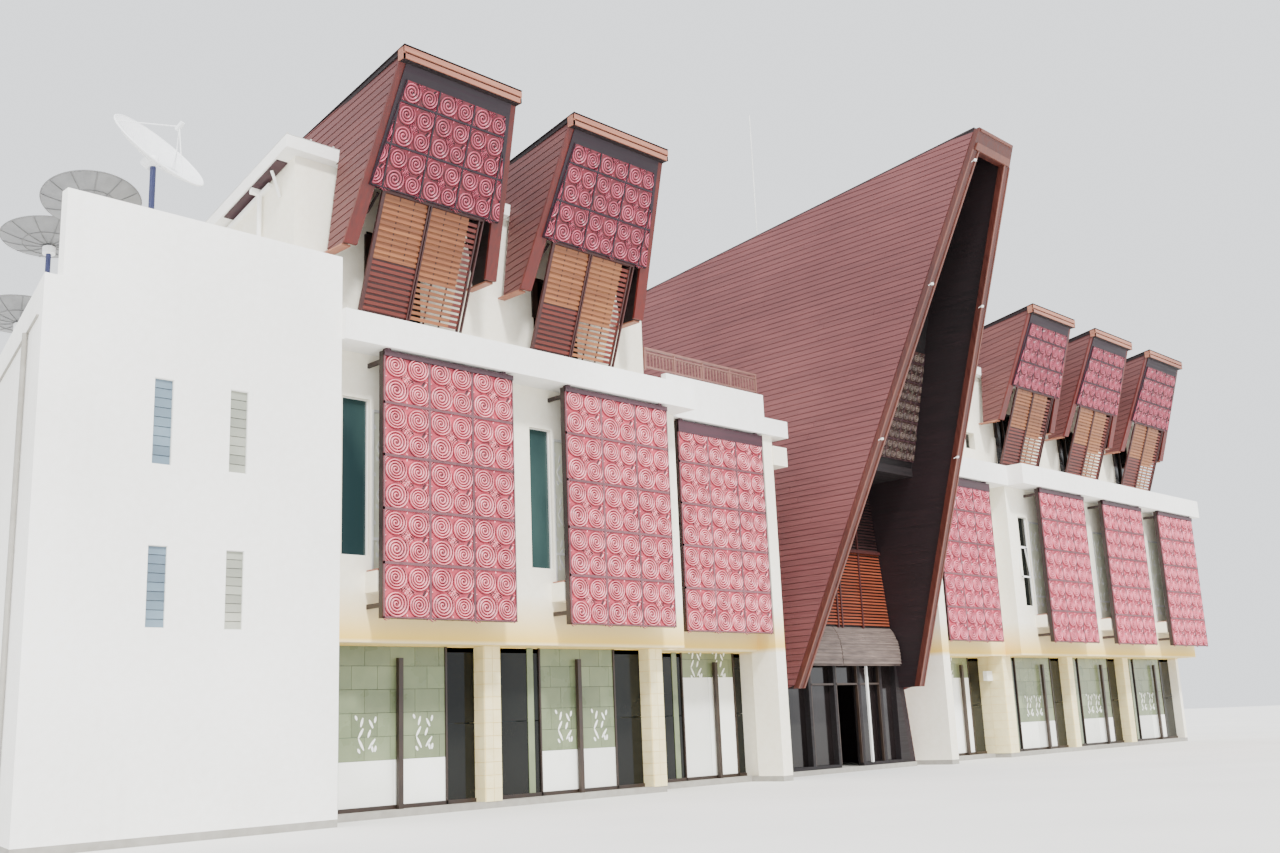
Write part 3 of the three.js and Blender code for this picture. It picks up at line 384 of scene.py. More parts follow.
# One louvre wood in two copies: the lower slats are painted as sunlit, and the upper ones are darker as
# painted shade under the prow.
HALL_LOUVRE = boards("hall_louvre_wood", "dark_wood", (176, 84, 48), (130, 50, 30), 0.55, grain=20,
                     stretch=ALONG_X, bump=0.3, tone=0.15)
HALL_SHADE_LOUVRE = boards("hall_shade_louvre_wood", "dark_wood", (90, 52, 50), (60, 34, 36), 0.6, grain=20,
                     stretch=ALONG_X, bump=0.3, tone=0.2)
AWNING = Finish("weathered_sheet", "awning_sheet", Surface.METAL, deep(160, 140, 130), deep(94, 80, 76),
                0.65, metallic=0.15, grain=7, stretch=(0.5, 1, 3.0), bump=0.3, tone=0.22)
ROD = Finish("white_rod", "rod", Surface.METAL, paint(235, 235, 232), paint(214, 214, 210), 0.4,
             metallic=0.2)
RAILING = Finish("railing_paint", "railing", Surface.METAL, deep(176, 124, 112), deep(140, 92, 82), 0.5)
DARK_METAL = Finish("dark_metal", "carving", Surface.METAL, deep(70, 50, 48), deep(46, 32, 32), 0.5)
DISH_WHITE = Finish("dish_white", "dish", Surface.METAL, paint(254, 254, 254), paint(242, 244, 246), 0.45,
                    grain=8)
# Painted shade: dishes seen from below are grey because their undersides lie in shade; the dish facing the
# front is white.
SHADED_DISH_GREY = Finish("shaded_dish_grey", "dish", Surface.METAL, deep(186, 187, 190), deep(160, 161, 164), 0.5,
                   metallic=0.2, grain=8, streak=0.2)
SHADED_DISH_RIB = Finish("shaded_dish_rib", "dish", Surface.METAL, deep(168, 168, 168), deep(144, 144, 146), 0.45,
                  metallic=0.3, grain=8)
MAST_BLUE = Finish("mast_blue", "dish", Surface.METAL, deep(76, 84, 140), deep(50, 56, 104), 0.5, grain=8)
DARK_GLASS = Finish("dark_green_glass", "glass", Surface.PANE, deep(84, 112, 108), deep(44, 66, 68), 0.1,
                    grain=1.2, stretch=(1, 1, 0.4), coat=0.4)
BLACK_GLASS = Finish("dark_glass", "glass", Surface.PANE, deep(48, 50, 46), deep(24, 26, 24), 0.1,
                     grain=1.2, stretch=(1, 1, 0.4))
BLUE_GLASS = Finish("blue_grey_glass", "glass", Surface.PANE, deep(168, 194, 208), deep(118, 138, 156),
                    0.15, grain=1.2, coat=0.3)
GREY_GLASS = Finish("grey_beige_glass", "glass", Surface.PANE, deep(226, 226, 208), deep(182, 186, 170),
                    0.2, grain=1.6, coat=0.3)
FROSTED = Finish("greenish_pane", "glass", Surface.PANE, deep(170, 182, 142), deep(144, 158, 120), 0.3,
                 grain=3, coat=0.3, tone=0.12)
# Painted light: patterned panes painted near white, as if sunlit, against the shade behind the panels.
SUNLIT_PANE = Finish("sunlit_patterned_pane", "glass", Surface.PANE, paint(252, 252, 230),
                    paint(240, 242, 216), 0.35, grain=3, coat=0.2, tone=0.06)
FILM = Finish("white_film", "glass", Surface.PANE, paint(252, 252, 246), paint(242, 243, 234), 0.35,
              grain=3)
ENTRY_GLASS = Finish("entrance_glass", "glass", Surface.PANE, deep(48, 40, 40), deep(24, 20, 20), 0.12,
                     grain=1.2, coat=0.3)
WINDOW_FRAME = Finish("white_frame", "glass", Surface.METAL, paint(246, 246, 242), paint(230, 230, 224),
                      0.4)
DARK_FRAME = Finish("dark_frame", "glass", Surface.METAL, deep(76, 58, 46), deep(54, 40, 34), 0.45)
MOTIF = Finish("white_motif", "glass", Surface.METAL, paint(254, 254, 250), paint(246, 247, 240), 0.5)
ROOF_SHEET = Finish("pale_roof_sheet", "white_wall", Surface.METAL, paint(214, 212, 206),
                    paint(186, 184, 178), 0.5, metallic=0.2, grain=6, stretch=(2, 0.2, 1), streak=0.25,
                    streak_colour=DIRT)


@dataclass(frozen=True)
class Plane:
    """A flat place to build on: a point is origin + a u + b v + c n, with n pointing outwards."""

    origin: Triple
    u: Triple = (1.0, 0.0, 0.0)
    v: Triple = (0.0, 0.0, 1.0)
    n: Triple = (0.0, -1.0, 0.0)

    def put(self, a: np.ndarray, b: np.ndarray, c: np.ndarray) -> np.ndarray:
        """Gives the points of the local coordinates a, b and c.

        Args:
            a: Distances along u.
            b: Distances along v.
            c: Distances along n.

        Returns:
            An array of points, three numbers each.
        """
        a, b, c = np.broadcast_arrays(a, b, c)
        axes = np.array([self.u, self.v, self.n], float)
        return np.stack([a, b, c], axis=-1) @ axes + np.array(self.origin, float)

    @property
    def flipped(self) -> bool:
        """Says whether the three axes are left-handed."""
        return float(np.linalg.det(np.array([self.u, self.v, self.n], float))) < 0


def front(y: float, x: float = 0.0) -> Plane:
    """A vertical plane that faces the front, where b is the height."""
    return Plane((x, y, 0.0))


def back(y: float) -> Plane:
    """A vertical plane that faces the back, where a is x."""
    return Plane((0.0, y, 0.0), n=(0.0, 1.0, 0.0))


def leaning(x: float, y: float, z: float, lean: float) -> Plane:
    """A front plane through (x, y, z) whose y grows by lean for each metre up; b is height above z."""
    return Plane((x, y, z), v=(0.0, lean, 1.0))


class Shape:
    """A mesh in the making, at real size, with a tone and a relief value for each vertex."""

    HEX = np.array([[4, 5, 7, 6], [0, 2, 3, 1], [1, 3, 7, 5], [0, 4, 6, 2], [2, 6, 7, 3], [0, 1, 5, 4]])

    def __init__(self, seed: int = SEED) -> None:
        """Starts an empty shape with its own random numbers.

        Args:
            seed: Start of the random numbers.
        """
        self.points: list[np.ndarray] = []
        self.faces: list[list[int]] = []
        self.tones: list[np.ndarray] = []
        self.reliefs: list[np.ndarray] = []
        self.count = 0
        self.random = np.random.default_rng(seed)

    def add(self, points: np.ndarray, faces: np.ndarray, flip: bool = False,
            tone: object = 0.0, relief: object = 0.0) -> None:
        """Adds points and the faces between them.

        Args:
            points: An array of points, three numbers each.
            faces: An array of indices into the points, one row for each face.
            flip: Whether to turn the faces over.
            tone: Brightness for each point, from -1 to 1.
            relief: Height of the carving for each point, from 0 to 1.
        """
        points = points.reshape(-1, 3)
        faces = faces[:, ::-1] if flip else faces
        self.faces.extend((faces + self.count).tolist())
        self.points.append(points)
        self.tones.append(np.broadcast_to(tone, len(points)))
        self.reliefs.append(np.broadcast_to(relief, len(points)))
        self.count += len(points)

    def hexes(self, corners: np.ndarray, flip: bool = False, vary: float = 1.0,
              relief: float = 0.0) -> None:
        """Adds solids with eight corners each, ordered a first, then b, then c.

        Args:
            corners: An array (solids, 8, 3) of points.
            flip: Whether a, b and c are left-handed.
            vary: How much the tone differs from one solid to the next.
            relief: Height of the carving, for all points.
        """
        number = len(corners)
        faces = (self.HEX[None] + 8 * np.arange(number)[:, None, None]).reshape(-1, 4)
        tone = np.repeat(self.random.uniform(-vary, vary, number), 8)
        self.add(corners, faces, flip, tone, relief)

    def boxes(self, plane: Plane, a: tuple, b: tuple, c: tuple, slide: object = 0.0,
              lift: object = 0.0, vary: float = 1.0) -> None:
        """Adds boxes on a plane from their low and high limits.

        Args:
            plane: The plane that they are laid out on.
            a: Low and high limit across, numbers or arrays.
            b: Low and high limit upwards.
            c: Low and high limit outwards.
            slide: How far the upper end is moved across.
            lift: How far the upper end is moved outwards.
            vary: How much the tone differs from one box to the next.
        """
        limits = np.broadcast_arrays(*[np.atleast_1d(v) for v in (*a, *b, *c, slide, lift)])
        a0, a1, b0, b1, c0, c1, move, out = [v.astype(float) for v in limits]
        corner = np.arange(8)
        is_a, is_b, is_c = corner & 1, (corner >> 1) & 1, corner >> 2
        across = a0[:, None] + (a1 - a0)[:, None] * is_a + move[:, None] * is_b
        up = b0[:, None] + (b1 - b0)[:, None] * is_b
        outwards = c0[:, None] + (c1 - c0)[:, None] * is_c + out[:, None] * is_b
        self.hexes(plane.put(across, up, outwards), plane.flipped, vary)

    def sweep(self, rings: np.ndarray, flip: bool = False, tone: object = 0.0,
              relief: object = 0.0) -> None:
        """Joins rings of points into closed bars.

        Args:
            rings: An array (bars, rings, points, 3); each ring is closed and the ends are capped.
            flip: Whether to turn the faces over.
            tone: Brightness for each point.
            relief: Height of the carving for each point.
        """
        bars, steps, around = rings.shape[:3]
        index = np.arange(steps * around).reshape(steps, around)
        here, ahead = index[:-1], index[1:]
        sides = np.stack([here, np.roll(here, -1, 1), np.roll(ahead, -1, 1), ahead], -1).reshape(-1, 4)
        shift = (steps * around * np.arange(bars))[:, None, None]
        self.add(rings, (sides[None] + shift).reshape(-1, 4), flip, tone, relief)
        caps = np.stack([index[0, ::-1], index[-1]])
        caps = (caps[None] + shift).reshape(-1, around) + self.count - bars * steps * around
        self.faces.extend((caps[:, ::-1] if flip else caps).tolist())

    def tube(self, path: Sequence, radius: float, sides: int = 8, tone: float = 0.0) -> None:
        """Adds a round bar along a path: rings across the path's direction at each of its points.

        Args:
            path: Points along the middle.
            radius: Radius of the bar.
            sides: Number of its sides.
            tone: Its brightness.
        """
        path = np.array(path, float)
        ahead = np.gradient(path, axis=0)
        ahead /= np.linalg.norm(ahead, axis=1)[:, None]
        helper = np.array([0.0, 0.0, 1.0]) if abs(ahead[:, 2]).max() < 0.9 else np.array([1.0, 0.0, 0.0])
        across = np.cross(ahead, helper)
        across /= np.linalg.norm(across, axis=1)[:, None]
        up = np.cross(across, ahead)
        angle = np.linspace(0, 2 * math.pi, sides, endpoint=False)[None, :, None]
        rings = path[:, None] + radius * (np.cos(angle) * across[:, None] - np.sin(angle) * up[:, None])
        self.sweep(rings[None], tone=tone)

    def to_rear(self) -> "Shape":
        """Gives a copy turned half a turn about the middle of the hall.

        Returns:
            The copy.
        """
        copy = Shape()
        turn = np.array([-1.0, -1.0, 1.0])
        copy.points = [p * turn + np.array([0.0, HALL_BACK, 0.0]) for p in self.points]
        copy.faces, copy.tones, copy.reliefs, copy.count = self.faces, self.tones, self.reliefs, self.count
        return copy

    def build(self, name: str, finish: Finish, replaces: Sequence[str] = (), smooth: bool = False) -> None:
        """Makes the piece in the model's frame and lets it ride on the building.

        Args:
            name: The piece's name.
            finish: Its finish.
            replaces: CAD nodes that it stands for.
            smooth: Whether it is shaded smooth.
        """
        points = np.concatenate(self.points)
        model = (points - np.array([0.0, DEPTH_ORIGIN, 0.0])) * MODEL_SCALE
        mesh = bpy.data.meshes.new(name)
        mesh.from_pydata(model.tolist(), [], self.faces)
        for key, values in (("tone", self.tones), ("relief", self.reliefs)):
            attribute = mesh.attributes.new(key, "FLOAT", "POINT")
            attribute.data.foreach_set("value", np.concatenate(values).astype(np.float32))
        mesh.polygons.foreach_set("use_smooth", np.full(len(mesh.polygons), smooth))
        mesh.materials.append(finish.material())
        mesh.update()
        piece = bpy.data.objects.new(name, mesh)
        bpy.context.scene.collection.objects.link(piece)
        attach(piece, "root")
        if replaces:
            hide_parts(*replaces)
        LOG.info("%s: %d faces, %s", name, len(self.faces), finish.name)


def dress(finish: Finish, *names: str) -> None:
    """Gives CAD nodes a finish in place of their plain one.

    Args:
        finish: The finish.
        names: The nodes' names.
    """
    for name in names:
        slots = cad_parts[name].data.materials
        slots.clear()
        slots.append(finish.material())


@dataclass(frozen=True)
class Relief:
    """The carving of a tile: four scrolls of ringed ridges, arcs in the corners and small leaves.

    A scroll is (across, up, radius, hand), a leaf (across, up, length, width, angle, relief), with
    the first two as shares of the tile's sides from its centre, and sizes as shares of its width.
    """

    scroll_places: tuple = ((-0.25, 0.245, 0.265, 1), (0.24, 0.235, 0.268, 1),
                            (-0.232, -0.24, 0.288, 1), (0.25, -0.255, 0.255, 1))
    # Leaves with relief over 1 are painted glints, and those below 0 painted shadow strokes, as in the last
    # three rows.
    leaf_places: tuple = (
        (0.04, 0.03, 0.12, 0.05, 45, 1.1), (-0.04, 0.03, 0.12, 0.05, 135, 0.2),
        (-0.04, -0.04, 0.12, 0.05, 45, 1.1), (0.04, -0.04, 0.12, 0.05, 135, 0.2),
        (0.0, 0.44, 0.13, 0.06, 80, 1.1), (0.0, -0.45, 0.11, 0.06, 100, 1.1),
        (-0.46, 0.0, 0.09, 0.06, 20, 1.1), (0.45, 0.02, 0.09, 0.05, -20, 1.1),
        (0.375, -0.03, 0.22, 0.06, 52, -0.3), (0.415, -0.05, 0.2, 0.045, 52, 1.5),
        (0.12, -0.02, 0.16, 0.05, -40, -0.3), (-0.12, 0.02, 0.16, 0.045, -50, -0.2),
        (-0.21, -0.37, 0.1, 0.04, 25, 1.6), (0.27, -0.34, 0.09, 0.035, 15, 1.6),
    )
    squash: float = 0.95
    turns: float = 4.2
    steps: int = 84
    end: float = 50.0
    bowl: float = 0.022
    ridge: float = 0.036
    sink: float = 0.004

    def scrolls(self, shape: Shape, board: "CarvedField", places: np.ndarray) -> None:
        """Carves a spiral ridge at each place (a, b, radius, hand).

        The path's radius grows evenly with its angle and ends at the upper right. The ridge's
        section is a kite: two feet on a shallow bowl, a crest above them and a root in the board.
        The outer foot of the last turn comes down to the board.

        Args:
            shape: Shape to add them to.
            board: The board that they are on.
            places: An array (scrolls, 4).
        """
        share = np.linspace(0.0, 1.0, self.steps)
        fade = np.clip(np.minimum(share / 0.05, (1 - share) / 0.05), 0.15, 1.0)
        half = 0.5 / self.turns * fade
        path = 0.03 + (0.97 - 0.5 / self.turns) * share
        radii = np.stack([path - half, path, path + half, path], 1)
        height = self.bowl * radii**2 + 0.01
        height[:, 1] += self.ridge * fade
        height[:, 3] = -self.sink
        height[share > 1 - 1 / self.turns, 2] = 0.0
        crest = np.tile([0.0, 1.0, 0.05, 0.0], self.steps)
        angle = math.radians(self.end) - 2 * math.pi * self.turns * (1 - share)
        a = places[:, 0, None, None] + places[:, 2, None, None] * radii * np.cos(angle)[:, None]
        tall = places[:, 2, None, None] * self.squash
        b = places[:, 1, None, None] + tall * radii * np.sin(angle)[:, None]
        a, b = board.squeeze(a, b)
        tone = np.repeat(shape.random.uniform(-0.6, 0.6, len(places)), self.steps * 4)
        rings = board.plane.put(a, b, np.broadcast_to(height, a.shape))
        shape.sweep(rings, board.plane.flipped, tone, np.tile(crest, len(places)))

    def arcs(self, shape: Shape, board: "CarvedField", places: np.ndarray) -> None:
        """Ripples the gaps between the scrolls with short arcs, three on each of their sides.

        A place is (a, b, radius, direction of the arc's middle in radians).

        Args:
            shape: Shape to add them to.
            board: The board that they are on.
            places: An array (arcs, 4).
        """
        sweep_angle = np.radians(np.linspace(-26, 26, 5))
        taper = np.cos(sweep_angle * 3.1)
        for out, narrow in ((-0.02, 1.0), (0.06, 0.75), (0.14, 0.45)):
            width = places[:, 2, None] * 0.07 * np.clip(taper, 0.1, 1)
            ripple = np.stack([-width, 0 * width, width, 0 * width], 2)
            radii = places[:, 2, None, None] * (1 + out * 2) + ripple
            angle = places[:, 3, None, None] + narrow * sweep_angle[:, None]
            a, b = board.squeeze(places[:, 0, None, None] + radii * np.cos(angle),
                                 places[:, 1, None, None] + self.squash * radii * np.sin(angle))
            height = np.tile([0.004, 0.026, 0.004, -self.sink], (len(sweep_angle), 1))
            crest = np.tile([0.0, 1.0, 0.0, 0.0], len(sweep_angle) * len(places))
            rings = board.plane.put(a, b, np.broadcast_to(height, a.shape))
            shape.sweep(rings, board.plane.flipped, 0.0, crest)

    def leaves(self, shape: Shape, board: "CarvedField", places: np.ndarray) -> None:
        """Sets a ridged leaf at each place (a, b, length, width, angle, relief).

        A leaf has six corners, two of them sharp, and a low crest over its middle.

        Args:
            shape: Shape to add them to.
            board: The board that they are on.
            places: An array (leaves, 6).
        """
        along = np.array([1.0, 0.45, -0.45, -1.0, -0.45, 0.45, 0.0]) / 2
        across = np.array([0.0, 1.0, 1.0, 0.0, -1.0, -1.0, 0.0]) / 2
        turn = np.radians(places[:, 4, None])
        first, second = along * places[:, 2, None], across * places[:, 3, None]
        a, b = board.squeeze(places[:, 0, None] + first * np.cos(turn) - second * np.sin(turn),
                             places[:, 1, None] + first * np.sin(turn) + second * np.cos(turn))
        height = np.array([-self.sink] * 6 + [0.042])
        corner = np.arange(6)
        shift = (7 * np.arange(len(places)))[:, None, None]
        sides = np.stack([corner, np.roll(corner, -1), np.full(6, 6)], 1)
        relief = np.concatenate([np.full((len(places), 6), 0.3), places[:, 5, None]], 1)
        start = shape.count
        points = board.plane.put(a, b, np.broadcast_to(height, a.shape))
        flipped = board.plane.flipped
        shape.add(points, (sides + shift).reshape(-1, 3), flipped, 0.0, relief.ravel())
        base = (corner[::-1] + shift[:, 0] + start).reshape(-1, 6)
        shape.faces.extend((base[:, ::-1] if flipped else base).tolist())


@dataclass
class CarvedField:
    """A board covered with carved tiles between battens, cut to an outline that narrows upwards."""

    plane: Plane
    height: float
    half: Limit
    tile: Pair
    columns: int = 3
    batten: float = 0.06
    relief: Relief = field(default_factory=Relief)

    def squeeze(self, a: np.ndarray, b: np.ndarray) -> tuple[np.ndarray, np.ndarray]:
        """Presses what lies beyond the outline into a thin layer at its edge.

        Args:
            a: Distances across.
            b: Heights.

        Returns:
            Both, pressed in.
        """
        limit = self.half(b) - 0.02
        beyond = np.maximum(np.abs(a) - limit, 0)
        a = np.sign(a) * (np.abs(a) - 0.98 * beyond)
        top = self.height - 0.02
        b = b - 0.98 * np.maximum(b - top, 0)
        return a, b

    def tiles(self) -> np.ndarray:
        """The centres of the tiles, from the foot up and as far out as the board is wide.

        Returns:
            An array (tiles, 2).
        """
        wide, tall = self.tile
        extra = max(0, math.ceil((float(self.half(np.array(0.0))) - self.columns * wide / 2) / wide - 0.01))
        column = (np.arange(-extra, self.columns + extra) - (self.columns - 1) / 2) * wide
        row = (np.arange(math.ceil(self.height / tall - 0.01)) + 0.5) * tall
        return np.array([(a, b) for b in row for a in column])

    def spread_out(self, pattern: tuple, kept: int) -> np.ndarray:
        """Repeats a tile's pattern on all tiles, and keeps what lies well inside the outline.

        Args:
            pattern: Places on one tile; the first two numbers are shares of its sides.
            kept: How many numbers after them are sizes, as shares of its width.

        Returns:
            An array with a row for each place.
        """
        wide, tall = self.tile
        pattern = np.array(pattern, float)
        places = np.repeat(self.tiles()[:, None], len(pattern), 1)
        offset = pattern[:, :2] * np.array([wide, tall])
        rest = pattern[:, 2:].copy()
        rest[:, :kept] *= wide
        rest = np.repeat(rest[None], len(places), 0)
        found = np.concatenate([places + offset, rest], 2).reshape(-1, pattern.shape[1])
        inside = np.abs(found[:, 0]) < self.half(found[:, 1]) + found[:, 2] * 0.6
        inside &= found[:, 1] < self.height + found[:, 2] * 0.5
        return found[inside]

    def carving(self) -> Shape:
        """Builds the board with its scrolls, arcs and leaves, and the height of the carving.

        Returns:
            The carving.
        """
        shape = Shape()
        scrolls = self.spread_out(self.relief.scroll_places, 1)
        self.relief.scrolls(shape, self, scrolls)
        for turn in (0.0, math.pi):
            gaps = tuple((x, y, r, math.atan2(y, x) + turn) for x, y, r, _ in self.relief.scroll_places)
            self.relief.arcs(shape, self, self.spread_out(gaps, 1))
        self.relief.leaves(shape, self, self.spread_out(self.relief.leaf_places, 2))
        top, low = self.half(np.array(self.height)), self.half(np.array(0.0))
        ends = np.array([-low, low, -top, top, -low, low, -top, top])
        ups = np.array([0, 0, 1, 1, 0, 0, 1, 1]) * self.height
        outs = np.array([0, 0, 0, 0, 1, 1, 1, 1]) * 0.016 - 0.008
        shape.hexes(self.plane.put(ends, ups, outs)[None], self.plane.flipped, 0, relief=0.5)
        return shape

    def battens(self) -> Shape:
        """Builds the flat battens between the tiles and round the edge.

        Returns:
            The battens.
        """
        wide, tall = self.tile
        shape = Shape()
        out = (0.0, 0.036)
        rows = np.arange(0, self.height - 0.05, tall)
        for b in rows:
            b0, b1 = max(0.0, b - self.batten / 2), b + self.batten / 2
            limit = float(self.half(np.array(b)))
            shape.boxes(self.plane, (-limit, limit), (b0, b1), out)
        lowest, highest = float(self.half(np.array(0.0))), float(self.half(np.array(self.height)))
        steps = np.arange(-self.columns / 2 - 1, self.columns / 2 + 1.5) * wide
        for a in steps[np.abs(steps) < lowest - 0.06]:
            reach = self.height
            if abs(a) > highest:
                reach *= (lowest - abs(a)) / (lowest - highest)
            shape.boxes(self.plane, (a - self.batten / 2, a + self.batten / 2), (0, reach), (0.0, 0.032))
        edge = self.batten / 2
        for side in (-1, 1):
            a = (side * lowest, side * (lowest - edge))
            shape.boxes(self.plane, (min(a), max(a)), (0, self.height), out, side * (highest - lowest))
        return shape


@dataclass
class Hall:
    """The tall hall: two leaning boarded sides under a ridge that dips in the middle."""

    tip_z: float = 18.75
    tip_half: float = 1.0
    foot_z: float = 2.55
    foot_half: float = 3.35
    foot_y: float = 1.53
    tip_y: float = -4.88
    ridge_fall: float = 0.113
    wall_y: float = 2.15
    wall_top: float = 9.25
    side_thickness: float = 0.25
    board: float = 0.178
    gap: float = 0.012
    verge_depth: float = 0.181
    lit_top: float = 6.9
    awning_top: float = 4.45
    awning_bottom: float = 3.3
    awning_reach: float = 0.3
    gable_foot: Pair = (0.28, 9.55)
    gable_lean: float = -0.33
    carving: Pair = (9.7, 13.05)
    posts: tuple[float, ...] = (-1.3, -0.14, 0.08, 1.2)
    post: float = 0.06
    slat: float = 0.055
    slat_pitch: float = 0.1
    awning_steps: int = 97
    ripples: int = 16
    door_bars: tuple[float, ...] = (-1.69, -0.39, 0.75, 1.95)
    door_bar: float = 0.05
    door_head: float = 2.66
    white_post: Pair = (1.2, 1.27)
    lamps: tuple = ((-1, 17.76, 0.15), (-1, 14.1, 0.0), (1, 14.0, 0.45), (-1, 9.62, 0.0), (1, 9.56, 0.45))

    def half(self, z: object) -> object:
        """Half width of the hall at a height."""
        rise = self.tip_z - self.foot_z
        return self.tip_half + (self.tip_z - z) * (self.foot_half - self.tip_half) / rise

    def front_y(self, z: object) -> object:
        """Depth of the leaning front edge at a height."""
        return self.foot_y + (z - self.foot_z) * (self.tip_y - self.foot_y) / (self.tip_z - self.foot_z)

    def inner_half(self, z: object) -> object:
        """Half width between the two sides at a height."""
        return self.half(z) - self.side_thickness

    def siding(self, side: int) -> Shape:
        """Lays level lapped boards on one side, from the slab to the ridge.

        Each board is thicker at its lower edge, and its ends follow the leaning fronts or the
        dipping ridge.

        Args:
            side: -1 for the left and 1 for the right.

        Returns:
            The boards.
        """
        shape = Shape(SEED + side)
        ridge_low = self.tip_z - self.ridge_fall * (DEPTH_ORIGIN - self.tip_y)

        def limits(z: float) -> Pair:
            """Where a level line at height z leaves the side, front and ridge.

            Args:
                z: The height.

            Returns:
                The depths of both ends.
            """
            near = self.front_y(z) if z > self.foot_z else self.wall_y
            far = DEPTH_ORIGIN if z < ridge_low else self.tip_y + (self.tip_z - z) / self.ridge_fall
            return near, far

        corners = []
        levels = np.arange(SLAB_TOP, self.tip_z - 0.1, self.board)
        for low in levels:
            high = min(low + self.board, self.tip_z - 0.02)
            near_low, far_low = limits(low)
            near_high, far_high = limits(high)
            joints = np.sort(shape.random.uniform(0.1, 0.9, 2)) if far_high - near_high > 6 else []
            marks = [0.0, *joints, 1.0]
            for start, end in zip(marks, marks[1:]):
                gap = 0.006 if end < 1 else 0.0
                long_low, long_high = far_low - near_low, far_high - near_high
                y = [near_low + long_low * start, near_low + long_low * end - gap,
                     near_high + long_high * start, near_high + long_high * end - gap]
                for mirrored in (False, True):
                    ys = [HALL_BACK - v for v in (y[1], y[0], y[3], y[2])] if mirrored else y
                    z = np.array([low + self.gap, low + self.gap, high, high] * 2)
                    across = side * (self.half(z) + LAPPED_BOARD)
                    corners.append(np.column_stack([across, np.array(ys * 2), z]))
        shape.hexes(np.array(corners), side < 0)
        return shape

    def verge_trim(self) -> Shape:
        """Runs strips along both edges of the verge boards, and a broad board under the ridge.

        Returns:
            The strips.
        """
        shape = Shape()
        inner_top = self.tip_z - 0.64
        for inset, width, proud in ((0.3, 0.07, 0.03), (0.05, 0.05, 0.02)):
            for side in (-1, 1):
                z = np.array([self.foot_z, self.foot_z, inner_top, inner_top] * 2)
                far = inset + np.array([0, 0, 0.06, 0.06] * 2) * (inset > 0.2)
                edge = self.half(z) - far
                across = edge + np.array([0, width, 0, width] * 2)
                y = self.front_y(z) - self.verge_depth - np.array([0] * 4 + [proud] * 4)
                shape.hexes(np.column_stack([side * across, y, z])[None], side > 0, 0)
        under_ridge = (inner_top, inner_top + 0.2, 0.05)
        at_ridge = (self.tip_z - 0.1, self.tip_z - 0.02, 0.03)
        for low, high, proud in (under_ridge, at_ridge):
            z = np.array([low, low, high, high] * 2)
            reach = self.half(z) - 0.1
            y = self.front_y(z) - self.verge_depth - np.array([0] * 4 + [proud] * 4)
            shape.hexes(np.column_stack([reach * np.array([-1, 1, -1, 1] * 2), y, z])[None], False, 0)
        return shape

    def slats(self, low_z: float, high_z: float) -> Shape:
        """Lays tilted slats on the wall between two heights, each cut to the leaning sides.

        Args:
            low_z: Height of the lowest slat.
            high_z: Height where they end.

        Returns:
            The slats.
        """
        shape = Shape()
        low = np.arange(low_z, high_z, self.slat_pitch)
        reach = self.inner_half(low) - 0.05
        shape.boxes(front(self.wall_y), (-reach, reach), (low, low + self.slat), (0.03, 0.06), 0.0, -0.03)
        return shape

    def wall_posts(self) -> Shape:
        """Stands slim posts before the slats, with a rail at the top and where the slats painted in shade
        start.

        Returns:
            The posts and rails.
        """
        shape = Shape()
        face = front(self.wall_y)
        for x in self.posts:
            top = self.wall_top if abs(x) < 1 else self.lit_top + 0.8
            shape.boxes(face, (x, x + self.post), (self.awning_top, top), (0.02, 0.085), vary=0)
        for low, high in ((self.wall_top - 0.3, self.wall_top), (self.lit_top, self.lit_top + 0.09)):
            reach = float(self.inner_half(high)) - 0.02
            shape.boxes(face, (-reach, reach), (low, high), (0.0, 0.12), vary=0)
        return shape

    def awning(self) -> Shape:
        """Lays a rippled sheet in two halves and two tiers over the curved awning.

        Returns:
            The sheet.
        """
        shape = Shape()
        share = np.linspace(0.0, 1.0, self.awning_steps)
        y = self.wall_y - self.awning_reach * np.sin(share * math.pi / 2)
        z = self.awning_top - (self.awning_top - self.awning_bottom) * (0.25 * share + 0.75 * share**2)
        slope = np.stack([np.gradient(y), np.gradient(z)], 1)
        slope /= np.linalg.norm(slope, axis=1)[:, None]
        normal = np.stack([slope[:, 1], -slope[:, 0]], 1)
        tier = np.where(share < 0.52, 0.02, 0.05)
        ripple = tier + 0.012 * np.cos(share * 2 * math.pi * self.ripples)
        half = float(self.inner_half(self.awning_top)) - 0.01
        for x0, x1 in ((-half, -0.42), (-0.38, half)):
            rings = np.empty((1, len(share), 4, 3))
            for k, (x, out) in enumerate(((x0, 0.0), (x1, 0.0), (x1, 1.0), (x0, 1.0))):
                offset = np.where(out > 0, ripple, -0.005)
                across = np.full(self.awning_steps, x)
                rings[0, :, k] = np.column_stack([across, y + normal[:, 0] * offset,
                                                  z + normal[:, 1] * offset])
            tone = np.repeat(shape.random.uniform(-1, 1, self.awning_steps), 4)
            shape.sweep(rings, True, tone)
        return shape

    def entrance(self) -> Shape:
        """Frames the doorway and its side lights with slim bars.

        Returns:
            The bars.
        """
        shape = Shape()
        face = front(self.wall_y + 0.1)
        for x in self.door_bars:
            shape.boxes(face, (x, x + self.door_bar), (0.25, self.awning_bottom), (0.0, 0.09))
        reach = (self.door_bars[0], self.door_bars[-1] + self.door_bar)
        shape.boxes(face, reach, (self.door_head, self.door_head + 0.06), (0.0, 0.09))
        return shape

    def entrance_post(self) -> Shape:
        """Stands one white post in the entrance.

        Returns:
            The post.
        """
        shape = Shape()
        shape.boxes(front(self.wall_y - 0.02), self.white_post, (0.25, 3.25), (-0.03, 0.04))
        return shape

